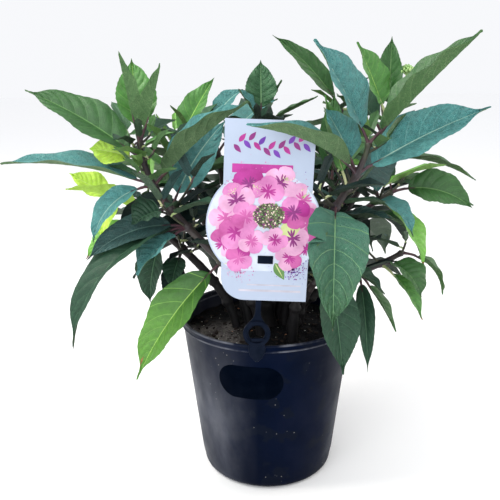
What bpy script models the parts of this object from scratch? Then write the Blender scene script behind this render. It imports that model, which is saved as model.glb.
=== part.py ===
# A young hydrangea shrub in its black nursery pot, with a bib label hooked over the rim.
# Metres, +Z up. The origin is the centre of the pot's flat underside, and the label faces -Y.

import math
import random

import bmesh
import bpy
import numpy as np
from mathutils import Vector
from mathutils.bvhtree import BVHTree

GAP = 0.0003  # left between neighbouring solids

# Pot: a thin tapered shell with a band round its rim
POT_HEIGHT = 0.188
RIM_RADIUS = 0.100
BAND_HEIGHT = 0.008
BAND_STEP = 0.0022  # how far the band stands out of the wall
BASE_RADIUS = 0.0765
BASE_ROUND = 0.008
WALL = 0.0018
FLOOR = 0.0025
RIM_THICK = 0.0034
RIM_ROUND = 0.0006
POT_STEPS = 48
DRAIN_COUNT = 6
DRAIN_RADIUS = 0.0045
DRAIN_RING = 0.055
DRAIN_TURN = 12.0  # degrees from +X to the first hole

# Potting mix, heaped a little towards the canes
MIX_TOP = 0.168
MIX_HEAP = 0.004
MIX_LEVEL = 0.046  # radius of the heap's level middle, where the canes stand
MIX_SLOPE = 0.030  # width of its slope
MIX_RIPPLE = 0.0016
MIX_RINGS = 8
MIX_STEPS = 28

# Bib label: a rectangle with a round panel behind its picture
LABEL_WIDTH = 0.086
LABEL_HEIGHT = 0.180
LABEL_THICK = 0.0012
LABEL_FOOT = 0.240  # height of its lower edge
LABEL_SIDE = -0.0065  # middle of its lower edge, to the right of the pot's axis
LABEL_TILT = 2.7  # degrees, its top over to the right
DISC_RADIUS = 0.0565
DISC_UP = 0.078  # its centre above the lower edge
DISC_SIDE = -0.0025
TOP_ROUND = 0.024
FOOT_ROUND = 0.024
SLOT_WIDTH = 0.0158
SLOT_HEIGHT = 0.0088
SLOT_UP = 0.043
SLOT_SIDE = 0.0005

# Hook: a flat strap with a ring, a tongue outside the rim and a leg inside it
HOOK_THICK = 0.002
STRAP_WIDTH = 0.0058
RING_OUTER = 0.0142
RING_INNER = 0.0084
RING_UP = 0.0155  # its centre above the rim
TONGUE_WIDTH = 0.0180
TONGUE_DROP = 0.0170
LEG_WIDTH = 0.0140
LEG_DROP = 0.0120
HOOK_SIDE = -0.013

# Canes and the short stump they stand round
STUMP_RADIUS = 0.0095
STUMP_FLARE = 0.0135
STUMP_HEIGHT = 0.030
CANE_RADIUS = 0.0052
TIP_RADIUS = 0.0027
TWIG_RADIUS = 0.0014
TWIG_BUD = 0.004
BUD = 0.009  # how far a shoot's last bud stands above its last joint
PULL = (1.0, 1.0)  # how long a shoot keeps the lean of its foot, and of its tip

# Leaves
LEAF_LENGTH = 0.105
LEAF_BREADTH = 0.40  # width to length
LEAF_FOLD = 24.0  # degrees that each half is raised
LEAF_THICK = 0.0017
SLIMMEST = 0.012  # the least thickness, as a share of the length
LOWEST = 0.012  # how far above the ground a leaf must stay
LEAF_STEPS = 24  # steps along a leaf's curved line
LEAF_CUTS = (0.14, 0.34, 0.56, 0.78)  # its cross-sections, by share of the blade
SMALL_CUTS = (0.25, 0.65)
PETIOLE = 0.018
PETIOLE_RADIUS = 0.0012

# The one cluster of buds
STALK_ANGLE = 5
STALK_RISE = 58
STALK_LENGTH = 0.052
BUD_COUNT = 6
BUD_RADIUS = 0.0036
BUD_SPREAD = 0.0052

CLEARANCE = 0.0009  # kept between a leaf and whatever it must not touch
TURNS = (
    (0, 0), (6, 0), (-6, 0), (0, 6), (0, -6), (12, 0), (-12, 0), (0, 12), (0, -12),
    (18, 8), (-18, 8), (18, -12), (-18, -12), (30, 0), (-30, 0),
)

# Shoots. foot: angle and distance from the pot's axis. tip: angle, distance and height.
# lean: degrees from upright at foot and tip. joints: where leaf pairs stand, along the shoot.
# enter: where the mass takes over from the cane. turn: angle of the first pair.
# leaves: those that depart from the rule, by joint and side, as
#   (angle, rise, bend, length, width, roll, sweep, fold), in degrees and millimetres.
#   rise is from level at the root and bend is how far it has dropped by the tip.
# pull: how long the shoot keeps its foot's and its tip's lean, where not PULL.
SHOOTS = {
    "left_front": dict(
        foot=(255, 0.032), tip=(201, 0.139, 0.391), lean=(0, 2), enter=0.34,
        joints=(0.39, 0.60, 0.70, 0.82, 0.93, 1.0), turn=110,
        leaves={
            (0, 0): (203, -36, 28, 142, 56, 30), (1, 0): (210, 5, 90, 175, 46, 10),
            (1, 2): (220, -5, 40, 60, 46, 0), (1, 3): (201, 12, 62, 100, 34, 45),
            (2, 0): (20, 70, 30, 95, 44, -55, 0, 12), (2, 1): (205, 10, 45, 35, 45, 20),
            (3, 0): (185, 25, 30, 140, 42, 10), (3, 1): (340, 50, 20, 120, 44, -18, 0, 55),
            (3, 2): (205, 5, 85, 76, 28, 35), (4, 0): (170, 40, 20, 125, 50, 35),
            (4, 1): (165, 8, 20, 46, 42, 50), (5, 0): (200, 80, 0, 75, 24, 0, 0, 60),
            (5, 1): (340, 75, -5, 66, 24, 0, 0, 60), (5, 2): (105, 68, 5, 74, 46, 0),
        },
    ),
    "right_front": dict(
        foot=(300, 0.055), tip=(318, 0.130, 0.394), lean=(0, 10), pull=(1.6, 0.7), enter=0.6,
        joints=(0.69, 0.79, 0.86, 1.0), turn=60,
        leaves={
            (0, 0): (257, 0, 80, 135, 66, 15), (1, 0): (45, 25, 20, 75, 44, -70, 0, 10),
            (1, 1): (180, 72, -6, 77, 30, 55), (2, 0): (230, 42, 35, 118, 40, 22, -50, 50),
            (2, 1): (350, 42, 15, 122, 56, -45), (2, 2): (195, 72, 20, 58, 40, 65),
            (3, 0): (210, 62, 12, 100, 52, 65), (3, 1): (340, 49, 4, 124, 50, -14, 0, 45),
        },
    ),
    "left_rear": dict(
        foot=(180, 0.0205), tip=(150, 0.122, 0.368), lean=(8, 10), enter=0.45,
        joints=(0.5, 0.66, 0.82, 1.0), turn=20,
        leaves={
            (3, 0): (0, 65, 10, 78, 38, -55), (3, 1): (190, 75, 10, 35, 12, 0),
            (3, 2): (185, 50, 60, 45, 30, 20), (2, 1): (165, 15, 50, 45, 30, 30),
        },
    ),
    "centre_left": dict(
        foot=(136, 0.0205), tip=(140, 0.078, 0.392), lean=(2, 8), enter=0.5,
        joints=(0.58, 0.74, 0.88, 1.0), turn=60,
        leaves={(3, 0): (355, 80, 55, 45, 28, -50), (3, 1): (262, -10, 30, 40, 24, 0)},
    ),
    "centre": dict(
        foot=(92, 0.0205), tip=(94, 0.062, 0.398), lean=(0, 6), enter=0.5,
        joints=(0.58, 0.74, 0.88, 1.0), turn=10,
        leaves={
            (3, 0): (90, 84, 8, 55, 40, 0), (3, 1): (210, 55, 10, 40, 24, 50),
            (3, 2): (0, 25, 0, 55, 16, 0),
        },
    ),
    "right_inner": dict(
        foot=(0, 0.0205), tip=(356, 0.072, 0.335), lean=(2, 10), enter=0.5,
        joints=(0.58, 0.76, 1.0), turn=80,
        leaves={(2, 0): (80, 88, 8, 85, 34, 0), (1, 1): (344, 12, 20, 70, 36, 0)},
    ),
    "right_top": dict(
        foot=(24, 0.037), tip=(12, 0.139, 0.405), lean=(4, 6), enter=0.45,
        joints=(0.52, 0.68, 0.82, 0.92, 1.0), turn=30, blossom=True,
        leaves={
            (4, 0): (200, 68, 8, 75, 42, 65), (4, 1): (80, 80, -10, 72, 34, 0),
            (2, 1): (0, 10, 45, 105, 30, 0),
        },
    ),
    "right_rear": dict(
        foot=(48, 0.0205), tip=(47, 0.137, 0.410), lean=(6, 8), enter=0.45,
        joints=(0.52, 0.68, 0.84, 1.0), turn=0,
        leaves={(3, 0): (190, 58, 25, 105, 30, 65), (3, 1): (340, 0, 30, 45, 28, 0)},
    ),
    "right_side": dict(
        foot=(352, 0.037), tip=(355, 0.137, 0.330), lean=(10, 62), enter=0.55,
        joints=(0.66, 0.80, 0.92, 1.0), turn=80,
        leaves={
            (3, 0): (342, 24, 65, 74, 44, -50), (3, 1): (100, 65, 10, 36, 16, 0),
            (2, 0): (318, -20, 55, 72, 38, 0), (2, 1): (110, 65, 10, 20, 14, 0),
            (1, 0): (295, 50, 120, 72, 32, 0), (2, 2): (0, -5, 50, 32, 20, 0),
            (1, 1): (340, 10, 60, 45, 24, 0),
        },
    ),
    "right_low": dict(
        foot=(330, 0.030), tip=(346, 0.150, 0.268), lean=(10, 55), enter=0.55,
        joints=(0.68, 0.84, 1.0), turn=80,
        leaves={
            (0, 0): (270, -20, 55, 100, 22, 0), (1, 0): (315, 25, 95, 52, 42, 0),
            (1, 2): (315, -20, 45, 60, 24, 0), (2, 1): (345, 0, 90, 55, 24, 0),
            (2, 0): (5, 56, -10, 54, 34, -40), (0, 2): (335, -45, 20, 60, 22, 0),
        },
    ),
    "left_low": dict(
        foot=(192, 0.036), tip=(173, 0.165, 0.318), lean=(12, 50), enter=0.5,
        joints=(0.56, 0.70, 0.84, 1.0), turn=80,
        leaves={
            (1, 0): (240, -45, 45, 65, 40, 0), (0, 0): (250, -45, 30, 52, 32, 0),
            (0, 2): (255, -35, 35, 40, 30, 0),
            (3, 0): (250, 10, 90, 50, 30, 0), (3, 1): (185, 24, -10, 50, 34, 50),
            (2, 0): (195, -15, 35, 65, 32, 40),
        },
    ),
    "front_low": dict(
        foot=(312, 0.042), tip=(314, 0.092, 0.264), lean=(12, 45), enter=0.6,
        joints=(0.72, 1.0), turn=60,
        leaves={(1, 0): (284, -58, 15, 96, 48, 0), (1, 1): (345, 0, 50, 50, 30, 0)},
    ),
    "back_left": dict(
        foot=(135, 0.036), tip=(128, 0.165, 0.352), lean=(10, 30), enter=0.45,
        joints=(0.5, 0.64, 0.77, 0.89, 1.0), turn=40,
    ),
    "back_centre": dict(
        foot=(96, 0.038), tip=(92, 0.172, 0.366), lean=(8, 28), enter=0.45,
        joints=(0.5, 0.64, 0.77, 0.89, 1.0), turn=0,
    ),
    "back_right": dict(
        foot=(56, 0.038), tip=(52, 0.172, 0.342), lean=(10, 34), enter=0.45,
        joints=(0.5, 0.64, 0.77, 0.89, 1.0), turn=50,
    ),
}


def heading(angle, rise):
    a, r = math.radians(angle), math.radians(rise)
    return np.array([math.cos(r) * math.cos(a), math.cos(r) * math.sin(a), math.sin(r)])


def at_angle(angle, distance, height):
    a = math.radians(angle)
    return np.array([distance * math.cos(a), distance * math.sin(a), height])


class Course:
    """The smooth line of one shoot, from the potting mix to its tip, by share of its length."""

    def __init__(self, shoot, steps=80):
        start = at_angle(*shoot["foot"], MIX_TOP + MIX_HEAP + GAP)
        end = at_angle(*shoot["tip"])
        span = end - start
        angle = math.degrees(math.atan2(span[1], span[0]))
        reach = np.linalg.norm(span)
        lean, pull = shoot["lean"], shoot.get("pull", PULL)
        out = heading(angle, 90 - lean[0]) * reach * pull[0]
        into = heading(angle, 90 - lean[1]) * reach * pull[1]
        u = np.linspace(0, 1, steps + 1)[:, None]
        self.points = (
            (2 * u**3 - 3 * u**2 + 1) * start + (u**3 - 2 * u**2 + u) * out
            + (3 * u**2 - 2 * u**3) * end + (u**3 - u**2) * into
        )
        steps_long = np.linalg.norm(np.diff(self.points, axis=0), axis=1)
        self.along = np.concatenate([[0], np.cumsum(steps_long)])
        self.length = self.along[-1]
        self.angle = angle

    def point(self, share):
        where = share * self.length
        return np.array([np.interp(where, self.along, self.points[:, i]) for i in range(3)])

    def direction(self, share):
        ahead = self.point(min(1.0, share + 0.01)) - self.point(max(0.0, share - 0.01))
        return ahead / np.linalg.norm(ahead)


def outline(share):
    """Half-width of a leaf at a share of its length, as a share of its greatest half-width."""
    return math.sin(math.pi * share**0.8) ** 0.85 * (1 - 0.35 * share**2) / 0.95


def leaf_heading(leaf, share):
    """Which way a leaf runs at a share of its whole length, and the level line across it."""
    angle = leaf["angle"] + leaf.get("sweep", 0) * share
    a = math.radians(angle)
    return heading(angle, leaf["rise"] - leaf["bend"] * share), np.array([math.sin(a), -math.cos(a), 0.0])


def leaf_line(leaf, shares):
    """Centre, across and normal of a leaf at shares of its whole length, petiole included."""
    steps = LEAF_STEPS
    whole = leaf["petiole"] + leaf["length"]
    centres = [np.array(leaf["root"], float)]
    for i in range(steps):
        ahead, level = leaf_heading(leaf, (i + 0.5) / steps)
        centres.append(centres[-1] + ahead * whole / steps)
    centres = np.array(centres)
    grid = np.linspace(0, 1, steps + 1)
    roll = math.radians(leaf["roll"])
    frames = []
    for share in shares:
        centre = np.array([np.interp(share, grid, centres[:, i]) for i in range(3)])
        ahead, level = leaf_heading(leaf, share)
        upper = np.cross(level, ahead)
        across = level * math.cos(roll) + upper * math.sin(roll)
        normal = upper * math.cos(roll) - level * math.sin(roll)
        frames.append((centre, across, normal))
    return frames


def leaf_rings(leaf, cuts=LEAF_CUTS, spare=0.0, skip=0.0):
    """Cross-sections of four points each, from the petiole's root on, and the leaf's tip."""
    whole = leaf["petiole"] + leaf["length"]
    base = leaf["petiole"] / whole
    shares = [skip * base, base] + [base + (1 - base) * cut for cut in cuts] + [1.0]
    frames = leaf_line(leaf, shares)
    fold = math.radians(leaf.get("fold", LEAF_FOLD))
    rings = []
    for i, (centre, across, normal) in enumerate(frames[:-1]):
        if i < 2:
            side = (PETIOLE_RADIUS + spare) * across
            over = (PETIOLE_RADIUS + spare) * normal
            rings.append([centre + side, centre + over, centre - side, centre - over])
            continue
        half = leaf["width"] / 2 * outline(cuts[i - 2])
        thick = leaf["thick"] / 2 * (1 - 0.35 * cuts[i - 2])
        side = (half + spare) * math.cos(fold) * across
        lift = half * math.sin(fold) * normal
        over = (thick + spare) * normal
        rings.append([centre + side + lift, centre + over, centre - side + lift, centre - over])
    return rings, frames[-1][0]


def loft(rings, tip=None):
    """Points and faces of a closed skin over rings, ending in a flat cap or in a tip."""
    count = len(rings[0])
    points = [point for ring in rings for point in ring]
    faces = [tuple(range(count))]
    for row in range(len(rings) - 1):
        for i in range(count):
            j = (i + 1) % count
            low, high = row * count, (row + 1) * count
            faces.append((low + i, high + i, high + j, low + j))
    last = (len(rings) - 1) * count
    if tip is None:
        faces.append(tuple(reversed(range(last, last + count))))
    else:
        points.append(tip)
        faces += [(last + i, len(points) - 1, last + (i + 1) % count) for i in range(count)]
    return [tuple(point) for point in points], faces


def tube_rings(course, shares, radii, sides, turn=0.0):
    """Rings of a tapering limb, square to its line."""
    rings = []
    level = np.array([math.sin(math.radians(course.angle)), -math.cos(math.radians(course.angle)), 0.0])
    for share, radius in zip(shares, radii):
        ahead = course.direction(share)
        upper = np.cross(level, ahead)
        centre = course.point(share)
        ring = []
        for i in range(sides):
            a = turn + 2 * math.pi * i / sides
            ring.append(centre + radius * (math.cos(a) * level + math.sin(a) * upper))
        rings.append(ring)
    return rings


class Twig:
    """A short side shoot that curves upward from a joint of its stem."""

    def __init__(self, root, angle, rise, length):
        self.angle = angle
        self.length = length
        self.rise = rise
        self.points = [np.array(root, float)]
        for i in range(8):
            step = heading(angle, rise + 20 * i / 8) * length / 8
            self.points.append(self.points[-1] + step)
        self.points = np.array(self.points)

    def point(self, share):
        grid = np.linspace(0, 1, len(self.points))
        return np.array([np.interp(share, grid, self.points[:, i]) for i in range(3)])

    def direction(self, share):
        return heading(self.angle, self.rise + 20 * share)


def radius_at(share):
    """Radius of a shoot at a share of its whole length."""
    return CANE_RADIUS + (TIP_RADIUS - CANE_RADIUS) * share**1.6


def bud_tip(course, length):
    return course.point(1.0) + course.direction(1.0) * length


def rule_leaf(course, share, rank, angle, dice):
    """A leaf as the rule sets it: the higher on its shoot, the shorter and the more upright."""
    length = LEAF_LENGTH * (1.10 - 0.35 * rank**2) * dice.uniform(0.9, 1.1)
    lean_out = math.cos(math.radians(angle - course.angle))
    return dict(
        root=course.point(share), angle=angle + dice.uniform(-10, 10),
        rise=12 + 48 * rank - 6 * lean_out + dice.uniform(-7, 7),
        bend=62 - 34 * rank + dice.uniform(-8, 8), length=length,
        width=length * LEAF_BREADTH * dice.uniform(0.92, 1.08),
        roll=dice.uniform(-14, 14), petiole=PETIOLE * dice.uniform(0.9, 1.15), thick=LEAF_THICK,
    )


def set_leaf(course, share, settings):
    """A leaf with its own settings."""
    angle, rise, bend, length, width, roll = settings[:6]
    sweep, fold = (tuple(settings[6:]) + (0, LEAF_FOLD)[len(settings) - 6:])[:2]
    length, width = length / 1000, width / 1000
    return dict(
        sweep=sweep, fold=fold,
        root=course.point(share), angle=angle, rise=rise, bend=bend, length=length, width=width,
        roll=roll, petiole=min(PETIOLE, 0.25 * length + 0.004),
        thick=max(0.8 * LEAF_THICK, SLIMMEST * length),
    )


class Crowd:
    """What is already standing, so that a new leaf or twig can keep clear of it."""

    def __init__(self):
        self.things = []

    def add(self, owner, skin):
        self.things.append((owner, *self.measured(skin)))

    @staticmethod
    def measured(skin):
        points = np.array(skin[0])
        return points.min(axis=0), points.max(axis=0), BVHTree.FromPolygons(*skin)

    def clashes(self, skin, leave_out=()):
        low, high, tree = self.measured(skin)
        for owner, other_low, other_high, other in self.things:
            if owner in leave_out or (low > other_high).any() or (high < other_low).any():
                continue
            if tree.overlap(other):
                return owner
        return None


def fitted(leaf, mass, crowd, low_limit=LOWEST):
    """The leaf, turned a little if it must be, or None where no turn keeps it clear."""
    for angle, rise in TURNS:
        tried = dict(leaf, angle=leaf["angle"] + angle, rise=leaf["rise"] + rise)
        whole = loft(*leaf_rings(tried, spare=CLEARANCE))
        blade = loft(*leaf_rings(tried, spare=CLEARANCE, skip=0.6))
        if min(point[2] for point in whole[0]) < low_limit:
            continue
        own = {owner for owner, *_ in crowd.things if owner.startswith(mass + "/")}
        if crowd.clashes(whole, own) is None and crowd.clashes(blade) is None:
            return tried
    return None


def grow(obstacles):
    """Every shoot's line, twigs and leaves, worked out in turn so that none touches another."""
    crowd = Crowd()
    for name, skin in obstacles.items():
        crowd.add(name, skin)
    plant = {}
    for name, shoot in SHOOTS.items():
        course = Course(shoot)
        plant[name] = dict(course=course, leaves=[], twigs=[])
        shares = np.linspace(0.05, 1, 15)
        radii = [radius_at(share) + CLEARANCE for share in shares]
        skin = loft(tube_rings(course, shares, radii, 6), bud_tip(course, BUD + CLEARANCE))
        met = crowd.clashes(skin)
        if met:
            print("stem of", name, "meets", met)
        crowd.add(name + "/stem", skin)
        for bud in blossom_skins(course) if shoot.get("blossom") else ():
            crowd.add(name + "/stem", bud)
    for name, shoot in SHOOTS.items():
        course = plant[name]["course"]
        for (joint, side), settings in shoot.get("leaves", {}).items():
            leaf = fitted(set_leaf(course, shoot["joints"][joint], settings), name, crowd)
            if leaf is None:
                print("no room for", name, joint, side)
                continue
            plant[name]["leaves"].append(leaf)
            crowd.add(name + "/leaf", loft(*leaf_rings(leaf)))
    for name, shoot in SHOOTS.items():
        course = plant[name]["course"]
        dice = random.Random(name)
        joints = shoot["joints"]
        for joint, share in enumerate(joints):
            rank = joint / (len(joints) - 1)
            for side in (0, 1):
                angle = course.angle + shoot["turn"] + 90 * joint + 180 * side
                leaf = rule_leaf(course, share, rank, angle, dice)
                if (joint, side) in shoot.get("leaves", {}):
                    continue
                leaf = fitted(leaf, name, crowd)
                if leaf is not None:
                    plant[name]["leaves"].append(leaf)
                    crowd.add(name + "/leaf", loft(*leaf_rings(leaf)))
    for name, shoot in SHOOTS.items():
        grow_twigs(name, shoot, plant[name], crowd)
    return plant


def grow_twigs(name, shoot, mass, crowd):
    """Side twigs in the axils of the lower joints, each with a pair or two of small leaves."""
    dice = random.Random(name + " twigs")
    course = mass["course"]
    for joint, share in enumerate(shoot["joints"][:-1]):
        angle = course.angle + shoot["turn"] + 90 * joint + 180 * dice.randint(0, 1) + 20
        twig = Twig(course.point(share), angle, dice.uniform(20, 45), dice.uniform(0.030, 0.048))
        end = twig.point(1.0) + twig.direction(1.0) * (TWIG_BUD + CLEARANCE)
        skin = loft(tube_rings(twig, (0.2, 0.6, 1.0), [TWIG_RADIUS + CLEARANCE] * 3, 3), end)
        own_stem = {name + "/stem"}
        if crowd.clashes(skin, own_stem) is not None:
            continue
        leaves = []
        for share_up, size in ((0.62, 0.058), (1.0, 0.046)):
            for side in (0, 1):
                length = size * dice.uniform(0.85, 1.15)
                leaf = dict(
                    root=twig.point(share_up), angle=angle + 90 * (share_up < 1) + 180 * side,
                    rise=35 + 30 * (share_up == 1.0), bend=dice.uniform(20, 45), length=length,
                    width=length * LEAF_BREADTH, roll=dice.uniform(-15, 15), petiole=0.006,
                    thick=LEAF_THICK * 0.7, small=True,
                )
                leaf = fitted(leaf, name, crowd)
                if leaf is not None:
                    leaves.append(leaf)
                    crowd.add(name + "/leaf", loft(*leaf_rings(leaf)))
        if leaves:
            mass["twigs"].append(twig)
            mass["leaves"] += leaves
            crowd.add(name + "/twig", skin)


def clear_scene():
    for obj in list(bpy.data.objects):
        bpy.data.objects.remove(obj, do_unlink=True)


def collection(name, helper=False):
    made = bpy.data.collections.new(name)
    bpy.context.scene.collection.children.link(made)
    made.hide_render = helper
    return made


def finish(name, colour, roughness, metallic=0.0):
    """A plain Principled material."""
    material = bpy.data.materials.new(name)
    material.use_nodes = True
    shader = material.node_tree.nodes["Principled BSDF"]
    shader.inputs["Base Color"].default_value = (*colour, 1)
    shader.inputs["Roughness"].default_value = roughness
    shader.inputs["Metallic"].default_value = metallic
    return material


def mesh_object(name, skin, where, material=None):
    mesh = bpy.data.meshes.new(name)
    mesh.from_pydata(skin[0], [], skin[1])
    obj = bpy.data.objects.new(name, mesh)
    where.objects.link(obj)
    if material:
        mesh.materials.append(material)
    return obj


def outward(obj):
    """Turns a closed mesh's faces to point out of it."""
    shape = bmesh.new()
    shape.from_mesh(obj.data)
    bmesh.ops.recalc_face_normals(shape, faces=shape.faces)
    shape.to_mesh(obj.data)
    shape.free()


def apply_modifiers(obj):
    graph = bpy.context.evaluated_depsgraph_get()
    done = bpy.data.meshes.new_from_object(obj.evaluated_get(graph))
    obj.modifiers.clear()
    obj.data = done


def turned(name, profile, steps, where, material):
    """A solid of revolution: the profile runs down its outer side, and starts and ends on the axis."""
    mesh = bpy.data.meshes.new(name)
    points = [(r, 0, z) for r, z in profile]
    mesh.from_pydata(points, [(i, i + 1) for i in range(len(points) - 1)], [])
    obj = bpy.data.objects.new(name, mesh)
    where.objects.link(obj)
    screw = obj.modifiers.new("turn", "SCREW")
    screw.steps = screw.render_steps = steps
    screw.use_merge_vertices = True
    screw.merge_threshold = 0.00005
    apply_modifiers(obj)
    obj.data.materials.append(material)
    outward(obj)
    return obj


def arc(centre, radius, start, end, steps):
    """Points of an arc in degrees."""
    turns = (math.radians(start + (end - start) * i / steps) for i in range(steps + 1))
    return [(centre[0] + radius * math.cos(a), centre[1] + radius * math.sin(a)) for a in turns]


def wall_radius(height):
    """Outer radius of the pot's wall below the band."""
    top = POT_HEIGHT - BAND_HEIGHT
    return BASE_RADIUS + (RIM_RADIUS - BAND_STEP - BASE_RADIUS) * height / top


def make_pot(where, helpers):
    band_foot = POT_HEIGHT - BAND_HEIGHT
    inner_rim = RIM_RADIUS - RIM_THICK
    profile = [(0, FLOOR), (BASE_RADIUS - BASE_ROUND, FLOOR)]
    profile.append((wall_radius(BASE_ROUND) - WALL, BASE_ROUND + WALL))
    profile.append((wall_radius(band_foot) - WALL, band_foot))
    profile += [(inner_rim, POT_HEIGHT - RIM_ROUND), (inner_rim + 2 * RIM_ROUND, POT_HEIGHT)]
    profile += [(RIM_RADIUS - RIM_ROUND, POT_HEIGHT), (RIM_RADIUS, POT_HEIGHT - RIM_ROUND)]
    profile += [(RIM_RADIUS, band_foot + RIM_ROUND), (RIM_RADIUS - RIM_ROUND, band_foot)]
    profile.append((wall_radius(band_foot), band_foot - RIM_ROUND))
    profile += arc((BASE_RADIUS - BASE_ROUND, BASE_ROUND), BASE_ROUND, 0, -90, 4)
    profile.append((0, 0))
    pot = turned("pot", profile, POT_STEPS, where, finish("pot_black", (0.012, 0.014, 0.020), 0.45))
    for i in range(DRAIN_COUNT):
        a = math.radians(DRAIN_TURN) + 2 * math.pi * i / DRAIN_COUNT
        bpy.ops.mesh.primitive_cylinder_add(
            vertices=12, radius=DRAIN_RADIUS, depth=8 * FLOOR,
            location=(DRAIN_RING * math.cos(a), DRAIN_RING * math.sin(a), 0),
        )
        cutter = bpy.context.object
        cutter.name = f"drain_cutter_{i}"
        for holder in list(cutter.users_collection):
            holder.objects.unlink(cutter)
        helpers.objects.link(cutter)
        cutter.display_type = "WIRE"
        cutter.hide_render = True
        cut = pot.modifiers.new(f"drain_{i}", "BOOLEAN")
        cut.operation = "DIFFERENCE"
        cut.object = cutter
    return pot


def make_potting_mix(where):
    """The pot's filling: it follows the wall, and its top is heaped and rippled."""
    top_radius = wall_radius(MIX_TOP - 2 * MIX_RIPPLE) - WALL - GAP
    foot = FLOOR + GAP
    profile = [(top_radius * i / MIX_RINGS, MIX_TOP) for i in range(MIX_RINGS + 1)]
    profile.append((wall_radius(BASE_ROUND) - WALL - 2 * GAP, BASE_ROUND + WALL + GAP))
    profile.append((BASE_RADIUS - BASE_ROUND - 2 * GAP, foot))
    profile.append((0, foot))
    mix = turned("potting_mix", profile, MIX_STEPS, where, finish("bark_mix", (0.10, 0.075, 0.055), 0.95))
    for vertex in mix.data.vertices:
        if vertex.co.z > MIX_TOP - GAP:
            vertex.co.z = mix_height(vertex.co.x, vertex.co.y)
    return mix


def mix_height(x, y):
    """Height of the potting mix: level in the middle, rippled outside it."""
    out = min(1, max(0, (math.hypot(x, y) - MIX_LEVEL) / MIX_SLOPE))
    ripple = math.sin(190 * x + 40 * y) * math.cos(150 * y - 60 * x)
    return MIX_TOP + MIX_HEAP * (1 - out) + MIX_RIPPLE * ripple * min(1, 3 * out)


def flat_piece(name, loops, thick, where):
    """A plate in the X-Z plane from closed outlines; a loop inside another is a hole."""
    curve = bpy.data.curves.new(name, "CURVE")
    curve.dimensions = "2D"
    curve.fill_mode = "BOTH"
    curve.extrude = thick / 2
    for loop in loops:
        spline = curve.splines.new("POLY")
        spline.points.add(len(loop) - 1)
        for point, (x, y) in zip(spline.points, loop):
            point.co = (x, y, 0, 1)
        spline.use_cyclic_u = True
    drawn = bpy.data.objects.new(name + "_outline", curve)
    where.objects.link(drawn)
    graph = bpy.context.evaluated_depsgraph_get()
    mesh = bpy.data.meshes.new_from_object(drawn.evaluated_get(graph))
    bpy.data.objects.remove(drawn)
    shape = bmesh.new()
    shape.from_mesh(mesh)
    bmesh.ops.remove_doubles(shape, verts=shape.verts, dist=0.00001)
    for vertex in shape.verts:
        x, y, z = vertex.co
        vertex.co = (x, -z, y)
    bmesh.ops.recalc_face_normals(shape, faces=shape.faces)
    shape.to_mesh(mesh)
    shape.free()
    obj = bpy.data.objects.new(name, mesh)
    where.objects.link(obj)
    return obj


def crossing(side):
    """Heights where the round panel's edge meets the rectangle's left or right edge."""
    away = abs(side - DISC_SIDE)
    half = math.sqrt(DISC_RADIUS**2 - away**2)
    return DISC_UP - half, DISC_UP + half


def label_outline():
    """The label's outline about the middle of its lower edge, counter-clockwise."""
    half = LABEL_WIDTH / 2
    low_right, high_right = crossing(half)
    low_left, high_left = crossing(-half)
    centre = (DISC_SIDE, DISC_UP)

    def on_disc(x, y):
        return math.degrees(math.atan2(y - DISC_UP, x - DISC_SIDE))

    loop = arc((-half + FOOT_ROUND, FOOT_ROUND), FOOT_ROUND, 180, 270, 6)
    loop.append((half, 0))
    loop += arc(centre, DISC_RADIUS, on_disc(half, low_right), on_disc(half, high_right), 10)
    loop += arc((half - TOP_ROUND, LABEL_HEIGHT - TOP_ROUND), TOP_ROUND, 0, 90, 5)
    loop.append((-half, LABEL_HEIGHT))
    left_start = on_disc(-half, high_left) % 360
    left_end = on_disc(-half, low_left) % 360
    loop += arc(centre, DISC_RADIUS, left_start, left_end, 10)
    return loop


def rectangle(x, y, width, height):
    return [(x - width / 2, y - height / 2), (x + width / 2, y - height / 2),
            (x + width / 2, y + height / 2), (x - width / 2, y + height / 2)]


def label_place(obj, y):
    """Stands a piece drawn in the label's own frame at its place, tilted in its plane."""
    tilt = math.radians(LABEL_TILT)
    for vertex in obj.data.vertices:
        x, z = vertex.co.x, vertex.co.z
        vertex.co.x = LABEL_SIDE + x * math.cos(tilt) + z * math.sin(tilt)
        vertex.co.z = LABEL_FOOT - x * math.sin(tilt) + z * math.cos(tilt)
        vertex.co.y += y


def hook_plane():
    return -(RIM_RADIUS + GAP + HOOK_THICK / 2)


def make_label(where):
    slot = rectangle(SLOT_SIDE, SLOT_UP, SLOT_WIDTH, SLOT_HEIGHT)
    label = flat_piece("plant_label", [label_outline(), slot], LABEL_THICK, where)
    label.data.materials.append(finish("label_card", (0.72, 0.76, 0.86), 0.4))
    label_place(label, hook_plane() - HOOK_THICK / 2 - GAP - LABEL_THICK / 2)
    return label


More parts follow.
